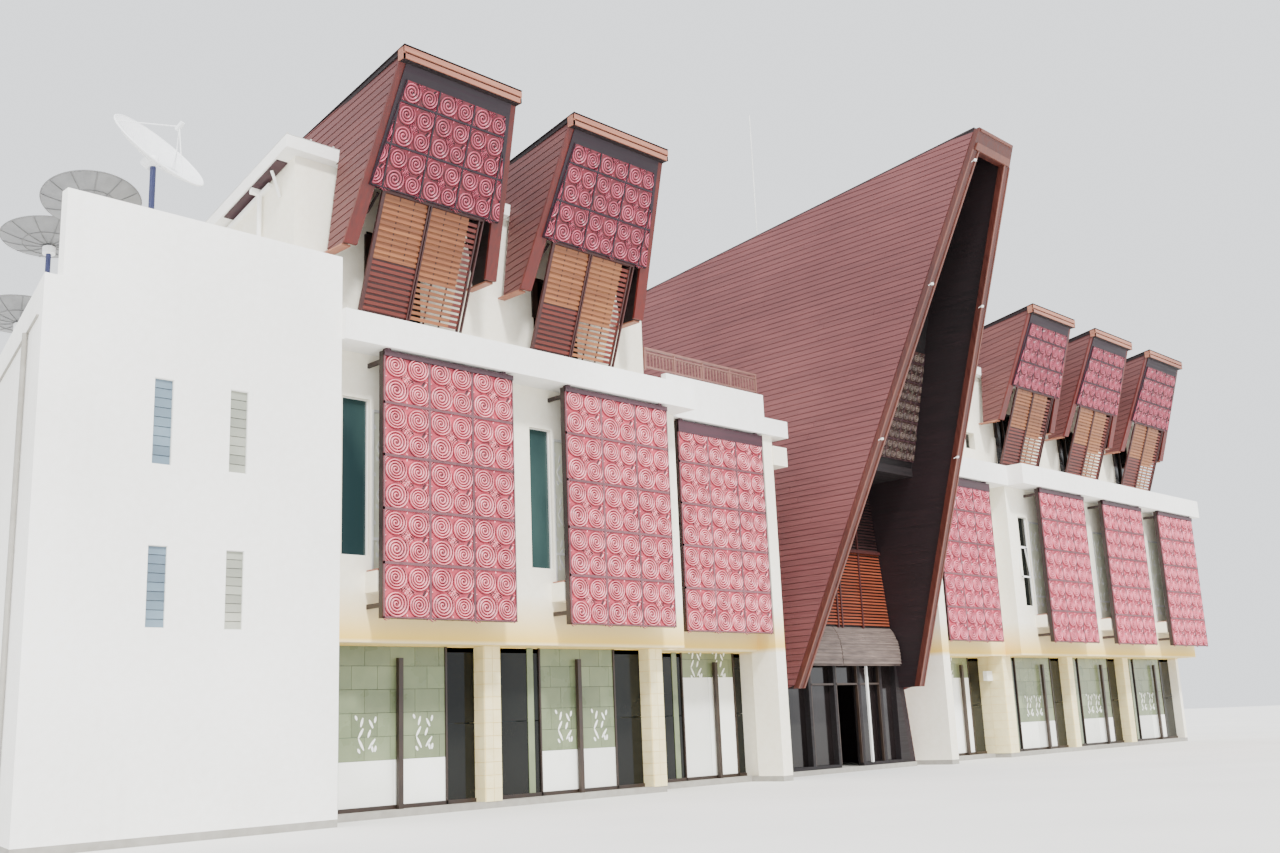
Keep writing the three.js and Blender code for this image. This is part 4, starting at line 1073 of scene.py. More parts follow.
    def carved_field(self) -> CarvedField:
        """The carving on the lower part of the gable.

        Returns:
            The carving, not yet built.
        """
        low, high = self.carving
        y0 = self.gable_foot[0] + (low - self.gable_foot[1]) * self.gable_lean - 0.06
        plane = leaning(0.0, y0, low, self.gable_lean)
        return CarvedField(plane, high - low, lambda b: self.inner_half(low + b) - 0.08, (0.6, 0.6),
                           batten=0.02, relief=Relief(turns=2.2, steps=28))

    def floodlights(self) -> Shape:
        """Sets small lamps on short arms at five places of the verge and the ridge.

        Returns:
            The lamps.
        """
        shape = Shape()
        for side, z, inset in self.lamps:
            x = side * (float(self.half(z)) - inset)
            y = float(self.front_y(z)) - self.verge_depth
            shape.tube([(x, y, z), (x, y - 0.06, z + 0.02), (x, y - 0.1, z + 0.03)], 0.012, 6)
            shape.boxes(front(y - 0.1), (x - 0.045, x + 0.045), (z - 0.01, z + 0.05), (0.0, 0.05), 0.0, 0.02)
        return shape

    def build(self) -> None:
        """Builds the hall's pieces, front and rear."""
        dress(SHADE_LINING, "hall_left_side", "hall_right_side")
        dress(FLASHING, "hall_ridge_cap")
        dress(VERGE, "hall_front_verge", "hall_rear_verge")
        dress(SHADE_DARK_WOOD, "hall_attic_floor", "hall_front_gable", "hall_rear_gable", "hall_front_wall",
              "hall_rear_wall", "hall_front_carving", "hall_rear_carving")
        dress(ENTRY_GLASS, "hall_front_glass", "hall_rear_glass")
        dress(AWNING, "hall_awning")
        dress(ROD, "lightning_rod")
        self.siding(-1).build("hall_left_siding", SIDING)
        self.siding(1).build("hall_right_siding", SIDING)
        carved = self.carved_field()
        parts = {
            "verge_trim": (self.verge_trim(), VERGE_TRIM),
            "lit_slats": (self.slats(self.awning_top + 0.1, self.lit_top), HALL_LOUVRE),
            "shaded_slats": (self.slats(self.lit_top + 0.1, self.wall_top - 0.32), HALL_SHADE_LOUVRE),
            "wall_posts": (self.wall_posts(), LOUVRE_FRAME),
            "entrance_frame": (self.entrance(), DARK_FRAME),
            "entrance_post": (self.entrance_post(), WINDOW_FRAME),
            "gable_relief": (carved.carving(), SHADED_CARVED),
            "gable_battens": (carved.battens(), HEADER_AND_SHADE),
            "floodlights": (self.floodlights(), WINDOW_FRAME),
        }
        for name, (shape, finish) in parts.items():
            shape.build(f"hall_front_{name}", finish)
            shape.to_rear().build(f"hall_rear_{name}", finish)
        self.awning().build("hall_awning_sheet", AWNING)


@dataclass(frozen=True)
class Bay:
    """One bay of a wing: a carved panel and, where it has them, a dormer and a tall window."""

    name: str
    x: float
    panel_y: float
    dormer_x: float | None = None
    shift: float = 0.0
    rise: float = 0.0
    tall_top: float | None = None
    # Depth of the dark header: a thin strip, made deeper on set-back bays to paint the cornice's shadow.
    header: float = 0.15

    @property
    def wall_y(self) -> float:
        """Depth of the front wall behind the panel."""
        return self.panel_y + PANEL_TO_WALL


BAYS = (
    Bay("left_bay_1", -17.01, 0.0, -16.94, tall_top=8.86, header=0.12),
    Bay("left_bay_2", -11.75, 0.0, -11.75, tall_top=8.86, header=0.12),
    Bay("left_bay_3", -6.82, 0.84, header=0.33),
    Bay("right_bay_1", 6.81, 1.25, header=0.3),
    Bay("right_bay_2", 13.0, 0.615, 13.0, 0.62, 0.13, 8.78),
    Bay("right_bay_3", 18.27, 0.615, 18.27, 0.62, 0.13),
    Bay("right_bay_4", 23.53, 0.615, 23.53, 0.62, 0.13),
)


SPRIG_LEAVES = np.array([
    (-0.34, 0.48, -0.29, 0.36), (-0.1, 0.42, -0.17, 0.18), (0.1, 0.36, 0.22, 0.14),
    (0.31, 0.44, 0.27, 0.28), (-0.09, 0.14, -0.24, -0.11), (-0.24, -0.12, -0.07, -0.43),
    (0.14, 0.1, 0.06, -0.1), (0.29, -0.14, 0.08, -0.4), (0.17, -0.3, 0.22, -0.48),
    (0.31, -0.32, 0.28, -0.48), (-0.26, -0.38, -0.19, -0.5),
])
SPRIG_LEAF_WIDTH = 0.072


def sprigs(shape: Shape, plane: Plane, centres: np.ndarray, size: float) -> None:
    """Draws a flat white sprig of separate slanting leaves at each place.

    Each leaf runs straight from one point to another and tapers to both ends as a sine.

    Args:
        shape: The shape that the leaves are added to.
        plane: The plane that they lie on.
        centres: An array (sprigs, 2) of places on the plane.
        size: Height of a sprig.
    """
    share = np.linspace(0, 1, 5)[:, None]
    start, end = SPRIG_LEAVES[:, None, :2], SPRIG_LEAVES[:, None, 2:]
    path = start + (end - start) * share
    ahead = (end - start) / np.linalg.norm(end - start, axis=2, keepdims=True)
    side = np.stack([-ahead[..., 1], ahead[..., 0]], -1)
    width = SPRIG_LEAF_WIDTH / 2 * np.sin(math.pi * np.clip(share, 0.08, 0.92)) ** 0.7
    left, right = path + side * width, path - side * width
    ring = np.stack([left, right, right, left], 2) * size
    places = (centres[:, None, None, None] + ring[None]).reshape(-1, 5, 4, 2)
    out = np.broadcast_to(np.array([0.0, 0.0, 0.01, 0.01]), places.shape[:3])
    shape.sweep(plane.put(places[..., 0], places[..., 1], out), not plane.flipped)


@dataclass
class FacadeBay:
    """The carved panel of a bay, with the patterned glazing and the ledge behind it."""

    bay: Bay
    half: float = 1.8
    bottom: float = 4.07
    top: float = 9.82
    glazing: Pair = (5.08, 8.65)
    glazing_inset: float = 0.18
    tall_window: Triple = (-0.59, 0.1, 5.43)
    sprig: float = 0.82
    sprig_columns: tuple[float, float, int] = (0.32, 0.86, 4)
    sprig_rows: Pair = (0.75, 1.05)
    ledge_reach: float = 0.45
    ledge_edge: float = 0.035
    rail: float = 0.06
    foot_pane: float = 0.72

    def build(self) -> None:
        """Builds the bay's pieces."""
        name, y = self.bay.name, self.bay.panel_y
        dress(DARK_METAL, f"{name}_panel")
        height = self.top - self.bottom
        plane = Plane((self.bay.x, y - 0.002, self.bottom))
        relief = Relief() if self.bay.x < 0 else Relief(turns=3.4, steps=60)
        carved = CarvedField(plane, height, lambda b: self.half + 0 * b, (self.half / 1.5, height / 5),
                             relief=relief)
        carved.carving().build(f"{name}_relief", CARVED if self.bay.x < 0 else ROSE_CARVED)
        carved.battens().build(f"{name}_battens", FRAME_LINE)
        # The dark header paints the cornice's shadow over the top of the panel.
        header = Shape()
        x0, x1 = self.bay.x - self.half, self.bay.x + self.half
        header.boxes(front(y), (x0, x1), (self.top - self.bay.header, self.top), (0.0, 0.065))
        for x in (x0 + 0.05, x1 - 0.33):
            header.boxes(front(y), (x, x + 0.1), (self.top - 0.05, self.top + 0.05), (-0.08, 0.07))
        header.build(f"{name}_header", HEADER_AND_SHADE)
        self.glass()

    def glass(self) -> None:
        """Builds the glazing behind the panel: panes painted sunlit, mullions and chains of white sprigs."""
        bay, (low, high) = self.bay, self.glazing
        x0, x1 = bay.x - self.half + self.glazing_inset, bay.x + self.half - self.glazing_inset
        face = front(bay.wall_y + 0.02)
        pane = Shape()
        edges = np.linspace(x0, x1, 4)
        for b0, b1 in ((low, low + self.foot_pane), (low + self.foot_pane + 0.02, high)):
            pane.boxes(face, (edges[:-1] + 0.01, edges[1:] - 0.01), (b0, b1), (-0.02, 0.0))
        pane.build(f"{bay.name}_panes", SUNLIT_PANE)
        bars = Shape()
        bars.boxes(face, (edges - 0.03, edges + 0.03), (low, high), (-0.02, 0.03))
        rails = np.array([low, low + self.foot_pane - 0.02, high - self.rail])
        bars.boxes(face, (x0, x1), (rails, rails + self.rail), (-0.02, 0.04))
        bars.build(f"{bay.name}_bars", WINDOW_FRAME)
        edge = Shape()
        edge.boxes(front(bay.wall_y - self.ledge_reach), (bay.x - self.half, bay.x + self.half),
                   (low, low + self.ledge_edge), (-0.4, 0.012))
        edge.build(f"{bay.name}_ledge_edge", FASCIA)
        chains = Shape()
        first, pitch, number = self.sprig_columns
        columns = x0 + first + pitch * np.arange(number)
        lowest, rise = self.sprig_rows
        rows = np.arange(low + lowest, high - 0.3, rise)
        centres = np.array([(a, b) for b in rows for a in columns])
        sprigs(chains, Plane((0.0, face.origin[1], 0.0)), centres, self.sprig)
        chains.build(f"{bay.name}_sprigs", MOTIF)
        if bay.tall_top:
            self.tall()

    def tall(self) -> None:
        """Builds the tall window beside the panel: dark panes in slim bars."""
        bay = self.bay
        left, right, bottom = self.tall_window
        x0, x1, top = bay.x - self.half + left, bay.x - self.half + right, bay.tall_top
        face = front(bay.wall_y + 0.12)
        on_right = bay.x > 0
        marks = np.linspace(bottom, top, 4 if on_right else 2)
        pane = Shape()
        pane.boxes(face, (x0, x1), (marks[:-1] + 0.01, marks[1:] - 0.01), (-0.01, 0.01))
        pane.build(f"{bay.name}_tall_panes", BLACK_GLASS if on_right else DARK_GLASS)
        bars = Shape()
        bars.boxes(face, (x0, x1), (marks - 0.02, marks + 0.02), (0.0, 0.04))
        bars.boxes(face, (np.array([x0, x1 - 0.03]), np.array([x0 + 0.03, x1])), (bottom, top), (0.0, 0.05))
        bars.build(f"{bay.name}_tall_bars", WINDOW_FRAME)


@dataclass
class Dormer:
    """A small boat roof that leans out over the front, with boarded sides and a louvre screen."""

    bay: Bay
    top_z: float = 16.8
    bottom_z: float = 12.55
    top_half: float = 1.64
    spread: float = 0.12
    lean: float = -0.36
    top_out: float = 0.4
    back_y: float = 6.0
    roof_fall: float = 0.18
    board: float = 0.2
    gap: float = 0.014
    cap: Triple = (1.71, 0.16, 0.09)
    fascia: float = 0.33
    verge: float = 0.3
    split: float = 13.85
    split_y: float = 0.56
    screen_half: float = 1.475
    screen_foot: float = 10.16
    opening: tuple[float, float, float, float] = (-0.98, 0.59, 10.4, 13.38)
    # Depth of the dark header, painted as the shade under the fascia.
    header: float = 0.33
    roof_front: float = 1.8
    roof_top: float = 15.1
    wall: float = 2.0
    slat: float = 0.074
    slat_pitch: float = 0.125
    shaded_share: float = 0.6
    inner_posts: tuple[float, ...] = (-0.95, -0.55, 0.35, 0.8)
    strut: float = 0.035

    def __post_init__(self) -> None:
        """Works out the places that depend on the bay."""
        self.x = self.bay.dormer_x
        self.edge_y = self.bay.panel_y - self.top_out
        self.rise = self.bay.rise
        self.upper = self.top_z + self.rise
        self.wall_y = self.wall + self.bay.shift

    def half(self, z: object) -> object:
        """Half width over the boards at a height, for a dormer that isn't raised."""
        return self.top_half + (self.top_z - z) * self.spread

    def front_y(self, z: object) -> object:
        """Depth of the leaning front edge at a height, for a dormer that isn't raised."""
        return self.edge_y + (z - self.top_z) * self.lean

    def side(self, side: int) -> Shape:
        """Laps boards on one side, parallel to the roof, cut to the leaning front and the foot.

        Args:
            side: -1 for the left and 1 for the right.

        Returns:
            The boards.
        """
        shape = Shape(SEED + side)
        behind = self.roof_front + self.bay.shift

        def ends(level: float) -> Pair | None:
            """Front and back end of the line that passes the top corner's depth at a level.

            Args:
                level: Height of the line at the depth of the top corner.

            Returns:
                Both depths, or nothing where the foot cuts the line off.
            """
            near = self.edge_y + (level - self.top_z) * self.lean / (1 + self.roof_fall * self.lean)
            at = level - self.roof_fall * (behind - self.edge_y)
            far = self.back_y if at > self.roof_top - 0.2 else behind
            foot = self.edge_y + (level - self.bottom_z) / self.roof_fall
            far = min(far, foot)
            return (near, far) if far - near > 0.02 else None

        corners = []
        for low in np.arange(self.bottom_z + 0.02, self.top_z + 0.02, self.board):
            high = min(low + self.board, self.top_z + 0.03)
            below, above = ends(low), ends(high)
            if not above:
                continue
            below = below or (above[0], above[0] + 0.01)
            y = np.array([below[0], min(below[1], above[1]), above[0], above[1]] * 2)
            level = np.array([low + self.gap, low + self.gap, high, high] * 2)
            z = np.maximum(level - self.roof_fall * (y - self.edge_y), self.bottom_z)
            across = side * (self.half(z) + LAPPED_BOARD)
            corners.append(np.column_stack([self.x + across, y, z + self.rise]))
        shape.hexes(np.array(corners), side < 0)
        return shape

    def verges(self) -> Shape:
        """Sets a broad board on the leaning front edge of each side, cut level at the foot.

        Returns:
            The two boards.
        """
        shape = Shape()
        top = self.top_z + self.cap[2] - self.fascia
        for side in (-1, 1):
            z = np.array([self.bottom_z, self.bottom_z, top, top] * 2)
            across = self.half(z) + np.array([-self.verge, 0.05, -self.verge, 0.05] * 2)
            y = self.front_y(z) + np.array([0.0] * 4 + [-0.07] * 4)
            shape.hexes(np.column_stack([self.x + side * across, y, z + self.rise])[None], side < 0, 0)
        return shape

    def fasciae(self) -> Shape:
        """Steps two pale boards with a groove between them along the front of the roof.

        Returns:
            The boards.
        """
        shape = Shape()
        half, out, up = self.cap
        nose, low = self.edge_y - out, self.upper + up - self.fascia
        face = front(nose, self.x)
        shape.boxes(face, (-half - 0.02, half + 0.02), (low + 0.01, low + 0.13), (0.0, 0.03))
        shape.boxes(face, (-half - 0.02, half + 0.02), (low + 0.17, low + self.fascia - 0.03), (0.0, 0.045))
        for side in (-1, 1):
            edge = side * (half + 0.02)
            plane = Plane((self.x + edge, nose - 0.03, 0.0), (0.0, 1.0, 0.0), n=(float(side), 0.0, 0.0))
            shape.boxes(plane, (0.0, 0.24), (low + 0.01, low + self.fascia - 0.03), (-0.04, 0.0))
        return shape

    def flashing(self) -> Shape:
        """Caps the roof with a dark sheet and standing seams that fall to the back.

        Returns:
            The sheet and its seams.
        """
        shape = Shape()
        half, out, up = self.cap
        nose = self.edge_y - out - 0.05
        plane = Plane((self.x, nose, self.upper + up), v=(0.0, 1.0, -self.roof_fall), n=(0.0, 0.0, 1.0))
        length = self.back_y - nose
        shape.boxes(plane, (-half - 0.03, half + 0.03), (0.0, length), (0.0, 0.015))
        seams = np.linspace(-half, half - 0.03, 7)
        shape.boxes(plane, (seams, seams + 0.03), (0.02, length), (0.015, 0.035))
        return shape

    def carved_field(self) -> CarvedField:
        """The carving between the verge boards, under the dark header of painted shade.

        Returns:
            The carving, not yet built.
        """
        plane = leaning(self.x, self.bay.panel_y + self.split_y, self.split + self.rise, self.lean)
        height = self.top_z + self.cap[2] - self.fascia - self.header - self.split

        def limit(b: np.ndarray) -> np.ndarray:
            """Half width between the verge boards, which close in a little towards the roof."""
            return self.half(self.split + b) - 0.14 - 0.12 * b / height

        relief = Relief(turns=3.2, steps=56)
        return CarvedField(plane, height, limit, (1.03, 0.95), batten=0.04, relief=relief)

    def carving_board(self) -> Shape:
        """Backs the carving with a board that runs on up to the roof as a dark header, painted as the
        fascia's shade.

        Returns:
            The board.
        """
        shape = Shape()
        top = self.top_z + self.cap[2] - self.fascia
        z = np.array([self.split, self.split, top, top] * 2)
        across = (self.half(z) - 0.125) * np.array([-1, 1, -1, 1] * 2)
        out = np.array([0.09] * 4 + [0.006] * 4)
        y = self.bay.panel_y + self.split_y + (z - self.split) * self.lean + out
        shape.hexes(np.column_stack([self.x + across, y, z + self.rise])[None], False, 0)
        return shape

    def screen_plane(self) -> Plane:
        """The leaning plane of the screen, from its foot up."""
        y = self.bay.panel_y + self.split_y + (self.screen_foot - self.split) * self.lean
        return leaning(self.x, y, self.screen_foot, self.lean)

    def screen(self) -> tuple[Shape, Shape, Shape]:
        """Builds the two leaves of the louvre screen: sunlit slats, shaded slats and their frame.

        The slats are painted in shade where the left leaf hangs before the window, and at the right edge;
        the rest are painted as sunlit.

        Returns:
            The sunlit slats, the shaded slats and the frame.
        """
        pale, dark, rails = Shape(), Shape(), Shape()
        plane = self.screen_plane()
        height = self.split + self.rise - self.screen_foot
        low = np.arange(0.1, height - 0.12, self.slat_pitch)
        before_window = low < self.shaded_share * height
        left, middle = -self.screen_half, -self.screen_half * 0.12
        depth = (-0.07, -0.052)
        for slats, rows, a0, a1 in (
            (dark, low[before_window], left + 0.08, middle),
            (pale, low[~before_window], left + 0.08, middle),
            (pale, low, middle + 0.11, -left - 0.42),
            (dark, low, -left - 0.42, -left - 0.15),
        ):
            slats.boxes(plane, (a0, a1), (rows, rows + self.slat), depth, 0.0, -0.008)
        # Painted shade: boards of the sunlit finish close the gaps of the upper slats, and a dark board
        # behind the lower left slats stands for the shaded window seen between them.
        behind = (-0.105, -0.088)
        pale.boxes(plane, (left + 0.08, middle), (0.62 * height, height - 0.05), behind, vary=0.2)
        pale.boxes(plane, (middle + 0.11, -left - 0.42), (0.55 * height, height - 0.05), behind, vary=0.2)
        rails.boxes(plane, (left + 0.08, middle), (0.06, 0.62 * height), behind, vary=0)
        posts = np.array([left, middle, middle + 0.07, -left - 0.16, -left - 0.04])
        widths = np.array([0.09, 0.04, 0.04, 0.04, 0.04])
        rails.boxes(plane, (posts, posts + widths), (0, height), (-0.1, -0.03), vary=0)
        rails.boxes(plane, (left, -left), (0.0, 0.05), (-0.1, -0.028), vary=0)
        rails.boxes(plane, (left, -left), (height - 0.05, height), (-0.1, -0.028), vary=0)
        inner = np.array(self.inner_posts)
        rails.boxes(plane, (inner, inner + 0.03), (0, height), (-0.12, -0.085), vary=0)
        return pale, dark, rails

    def window(self) -> tuple[Shape, Shape]:
        """Fills the window behind the screen: dark panes in dark bars.

        Returns:
            The panes and the bars.
        """
        left, right, bottom, top = self.opening
        wall = front(self.wall_y, self.x)
        panes, bars = Shape(), Shape()
        marks = np.linspace(left, right, 3)
        panes.boxes(wall, (marks[:-1], marks[1:]), (bottom, top), (-0.12, -0.1))
        bars.boxes(wall, (marks - 0.03, marks + 0.03), (bottom, top), (-0.1, -0.02))
        levels = np.array([bottom, top - 0.06])
        bars.boxes(wall, (left, right), (levels, levels + 0.06), (-0.1, -0.02))
        return panes, bars

    def shutter(self) -> Shape:
        """Sets a dark board beside the window and a curb below it.

        Returns:
            The board and the curb.
        """
        left, right, bottom, top = self.opening
        shape = Shape()
        wall = front(self.wall_y, self.x)
        shape.boxes(wall, (left - 0.06, left + 0.13), (bottom + 1.85, top - 0.1), (0.0, 0.05), vary=0)
        shape.boxes(wall, (left - 0.36, right), (ROOF_SLAB_TOP, bottom - 0.02), (0.0, 0.04), vary=0)
        return shape

    def foot_trim(self) -> Shape:
        """Edges the level foot of each side wall with a pale strip.

        Returns:
            The strips.
        """
        shape = Shape()
        near = float(self.front_y(self.bottom_z)) + 0.05
        for side in (-1, 1):
            x = float(self.half(self.bottom_z))
            a = sorted((side * (x - 0.2), side * (x + 0.03)))
            plane = Plane((self.x, 0.0, self.bottom_z + self.rise), v=(0.0, 1.0, 0.0), n=(0.0, 0.0, -1.0))
            shape.boxes(plane, tuple(a), (near, self.wall_y), (0.0, 0.04), vary=0)
        return shape

    def brace(self) -> Shape:
        """Props the carving from the wall with a slanting strut at its left end.

        Returns:
            The struts.
        """
        shape = Shape()
        x = self.x - self.screen_half - 0.02
        low = self.split - 0.55
        y_front = self.bay.panel_y + self.split_y
        for at in (x, self.x + self.screen_half - 0.02):
            path = [(at, y_front + 0.2, self.split - 0.04), (at, y_front + 0.6, low + 0.2),
                    (at, self.wall_y, low - 0.1)]
            shape.tube(path, self.strut, 6)
        return shape

    def build(self) -> None:
        """Builds the dormer's pieces."""
        name = self.bay.name
        dress(SHADE_LINING, f"{name}_dormer")
        for side, word in ((-1, "left"), (1, "right")):
            self.side(side).build(f"{name}_dormer_{word}_siding", DORMER_SIDING)
        self.verges().build(f"{name}_dormer_verges", DORMER_VERGE)
        self.fasciae().build(f"{name}_dormer_fascia", FASCIA)
        self.flashing().build(f"{name}_dormer_roof", FLASHING)
        carved = self.carved_field()
        carved.carving().build(f"{name}_dormer_relief", DEEP_CARVED)
        carved.battens().build(f"{name}_dormer_battens", DORMER_HEADER_SHADE)
        self.carving_board().build(f"{name}_dormer_board", DORMER_HEADER_SHADE)
        pale, dark, rails = self.screen()
        pale.build(f"{name}_screen_sunlit_slats", SUNLIT_LOUVRE, [f"{name}_dormer_front"])
        dark.build(f"{name}_screen_shaded_slats", SHADED_LOUVRE)
        rails.build(f"{name}_screen_frame", LOUVRE_FRAME)
        self.shutter().build(f"{name}_dormer_shutter", DARK_FRAME)
        panes, bars = self.window()
        panes.build(f"{name}_dormer_panes", BLACK_GLASS)
        bars.build(f"{name}_dormer_bars", DARK_FRAME)
        self.foot_trim().build(f"{name}_dormer_foot_trim", FASCIA)
        self.brace().build(f"{name}_dormer_struts", DARK_METAL)


@dataclass(frozen=True)
class Glazing:
    """One stretch of ground-floor glazing between two piers, or a pier and a wall.

    The pale part runs between two dark margins; white film covers it up to film_top.
    """

    left: float
    right: float
    y: float
    pale: Pair
    film_top: float
    posts: tuple[float, ...] = ()
    sprigs: tuple[Pair, ...] = ()


@dataclass
class GroundFloor:
    """The ground-floor front of a wing: tiled piers, patterned panes, white film and posts."""

    name: str
    stretches: tuple[Glazing, ...]
    piers: tuple[tuple[float, float, float, float], ...]
    head: float = 3.61
    before: float = 0.21
    block: Pair = (0.66, 0.5)
    tile: float = 0.29
    film_foot: float = 0.24
    post_half: float = 0.06
    post_top: float = 3.35
    sprig: float = 0.8

    def tiles(self) -> Shape:
        """Clads the front and both sides of each pier with tiles.

        Returns:
            The tiles.
        """
        shape = Shape()
        low = np.arange(SLAB_TOP, FIRST_SOFFIT - 0.02, self.tile)
        high = np.minimum(low + self.tile - 0.01, FIRST_SOFFIT - 0.005)
        for x0, x1, near, far in self.piers:
            marks = np.linspace(x0, x1, 3)
            for a0, a1 in zip(marks, marks[1:]):
                shape.boxes(front(near), (a0 + 0.005, a1 - 0.005), (low, high), (-0.004, 0.014), vary=0.6)
            depth = np.linspace(near, far, 3)
            for side, x in ((-1, x0), (1, x1)):
                plane = Plane((x, 0.0, 0.0), (0.0, 1.0, 0.0), n=(float(side), 0.0, 0.0))
                for b0, b1 in zip(depth, depth[1:]):
                    shape.boxes(plane, (b0 + 0.005, b1 - 0.005), (low, high), (-0.004, 0.014), vary=0.6)
        return shape

    def blocks(self, shape: Shape, glazing: Glazing) -> None:
        """Lays the pale part in running bond, with a pale post in the margin on its left.

        Args:
            shape: Shape to add them to.
            glazing: The stretch.
        """
        face = front(glazing.y - self.before)
        left, right = glazing.pale
        wide, tall = self.block
        for course, low in enumerate(np.arange(glazing.film_top, self.head, tall)):
            shift = wide / 2 * (course % 2)
            marks = np.clip(np.arange(left - shift, right + wide, wide), left, right)
            marks = np.unique(marks)
            high = min(low + tall, self.head)
            shape.boxes(face, (marks[:-1] + 0.004, marks[1:] - 0.004), (low + 0.004, high - 0.004),
                        (-0.05, 0.0))
        shape.boxes(face, (left - 0.41, left - 0.22), (SLAB_TOP, self.head), (-0.05, 0.01))

    def film(self, shape: Shape, glazing: Glazing) -> None:
        """Covers the lower part of the pale panes with film, in two widths.

        Args:
            shape: Shape to add it to.
            glazing: The stretch.
        """
        left, right = glazing.pale
        middle = (left + right) / 2
        marks = np.array([left, middle, right])
        shape.boxes(front(glazing.y - self.before), (marks[:-1] + 0.006, marks[1:] - 0.006),
                    (self.film_foot, glazing.film_top), (-0.05, 0.0))

    def margins(self, shape: Shape, glazing: Glazing) -> None:
        """Closes the dark margins beside the pale part with panes.

        Args:
            shape: Shape to add them to.
            glazing: The stretch.
        """
        face = front(glazing.y - self.before)
        for left, right in ((glazing.left, glazing.pale[0] - 0.05), (glazing.pale[1] + 0.05, glazing.right)):
            if right - left > 0.1:
                marks = np.array([SLAB_TOP, 1.9, self.head])
                shape.boxes(face, (left, right), (marks[:-1] + 0.01, marks[1:] - 0.01), (-0.05, -0.01))

    def bars(self, shape: Shape, glazing: Glazing) -> None:
        """Frames the panes, and stands dark posts a little before them.

        Args:
            shape: Shape to add them to.
            glazing: The stretch.
        """
        face = front(glazing.y - self.before)
        edges = np.array([glazing.pale[0] - 0.05, glazing.pale[1]])
        shape.boxes(face, (edges, edges + 0.05), (SLAB_TOP, self.head), (-0.05, 0.03), vary=0.3)
        shape.boxes(face, (glazing.left, glazing.right), (SLAB_TOP, self.film_foot), (-0.05, 0.03), vary=0.3)
        half = self.post_half
        for x in glazing.posts:
            shape.boxes(face, (x - half, x + half), (SLAB_TOP, self.post_top), (0.06, 0.16), vary=0.3)

    def build(self) -> None:
        """Builds the ground floor's pieces."""
        self.tiles().build(f"{self.name}_pier_tiles", TILE)
        panes, film, dark, bars, drawn = Shape(), Shape(), Shape(), Shape(), Shape()
        for glazing in self.stretches:
            self.blocks(panes, glazing)
            self.film(film, glazing)
            self.margins(dark, glazing)
            self.bars(bars, glazing)
            if glazing.sprigs:
                sprigs(drawn, front(glazing.y - self.before), np.array(glazing.sprigs), self.sprig)
        panes.build(f"{self.name}_ground_panes", FROSTED)
        film.build(f"{self.name}_ground_film", FILM)
        dark.build(f"{self.name}_ground_dark_panes", BLACK_GLASS)
        bars.build(f"{self.name}_ground_bars", DARK_FRAME)
        drawn.build(f"{self.name}_ground_sprigs", MOTIF)


LEFT_STRETCHES = (
    Glazing(-19.85, -15.24, 1.71, (-18.9, -16.1), 1.18, (-17.4,), ((-18.2, 1.75), (-16.7, 1.75))),
    Glazing(-14.77, -9.78, 1.71, (-13.24, -10.78), 1.18, (-12.07,), ((-12.5, 1.75), (-11.3, 1.75))),
    Glazing(-9.31, -4.75, 2.55, (-7.27, -5.12), 2.93, (-6.0,), ((-6.7, 3.3), (-5.7, 3.3))),
)
LEFT_PIERS = ((-15.24, -14.77, 1.15, 1.71), (-9.78, -9.31, 1.15, 2.55))
RIGHT_STRETCHES = (
    Glazing(4.75, 9.7, 3.2, (6.0, 8.9), 2.89, (8.3,), ((6.7, 3.27), (7.6, 3.27))),
    Glazing(10.3, 14.95, 2.66, (11.4, 14.1), 1.2, (13.3,), ((12.2, 1.8), (12.9, 1.8))),
    Glazing(15.37, 19.87, 2.66, (16.5, 19.1), 1.2, (18.3,), ((17.2, 1.8), (17.9, 1.8))),
    Glazing(20.35, 25.25, 2.66, (21.6, 24.2), 1.2, (23.4,), ((22.2, 1.8), (23.0, 1.8))),
)
RIGHT_PIERS = ((9.7, 10.3, 2.0, 3.2), (14.95, 15.37, 2.1, 2.66), (19.87, 20.35, 2.1, 2.66))


@dataclass
class PlainWindows:
    """Rows of plain windows in a wall: a pane, a frame, a middle bar and a sill for each."""

    name: str
    plane: Plane
    centres: tuple[float, ...]
    half: float
    rows: tuple[Pair, ...]
    pane: Finish = DARK_GLASS
    recess: float = 0.1
    rim: float = 0.045
    blades: int = 0
    sill: bool = True

    def build(self) -> None:
        """Builds the panes and frames."""
        centre, low = [v.ravel() for v in np.meshgrid(self.centres, [r[0] for r in self.rows])]
        high = np.meshgrid(self.centres, [r[1] for r in self.rows])[1].ravel()
        panes, bars = Shape(), Shape()
        a0, a1 = centre - self.half, centre + self.half
        back_face, face = -self.recess - 0.02, -self.recess
        if self.blades:
            step = (high - low) / self.blades
            for k in range(self.blades):
                base = low + k * step
                panes.boxes(self.plane, (a0, a1), (base + 0.004, base + step - 0.004), (back_face, face),
                            0.0, -0.012)
        else:
            panes.boxes(self.plane, (a0, a1), (low, high), (back_face, face))
            bars.boxes(self.plane, (centre - 0.02, centre + 0.02), (low, high), (face, face + 0.03))
        rim = self.rim
        for left, right in ((a0 - 0.01, a0 + rim), (a1 - rim, a1 + 0.01)):
            bars.boxes(self.plane, (left, right), (low - 0.01, high + 0.01), (back_face - 0.02, face + 0.03))
        for bottom, top in ((low - 0.01, low + rim), (high - rim, high + 0.01)):
            bars.boxes(self.plane, (a0 - 0.01, a1 + 0.01), (bottom, top), (back_face - 0.02, face + 0.028))
        if self.sill:
            bars.boxes(self.plane, (a0 - 0.05, a1 + 0.05), (low - 0.05, low), (-0.08, 0.04))
        panes.build(f"{self.name}_panes", self.pane)
        bars.build(f"{self.name}_frames", WINDOW_FRAME)


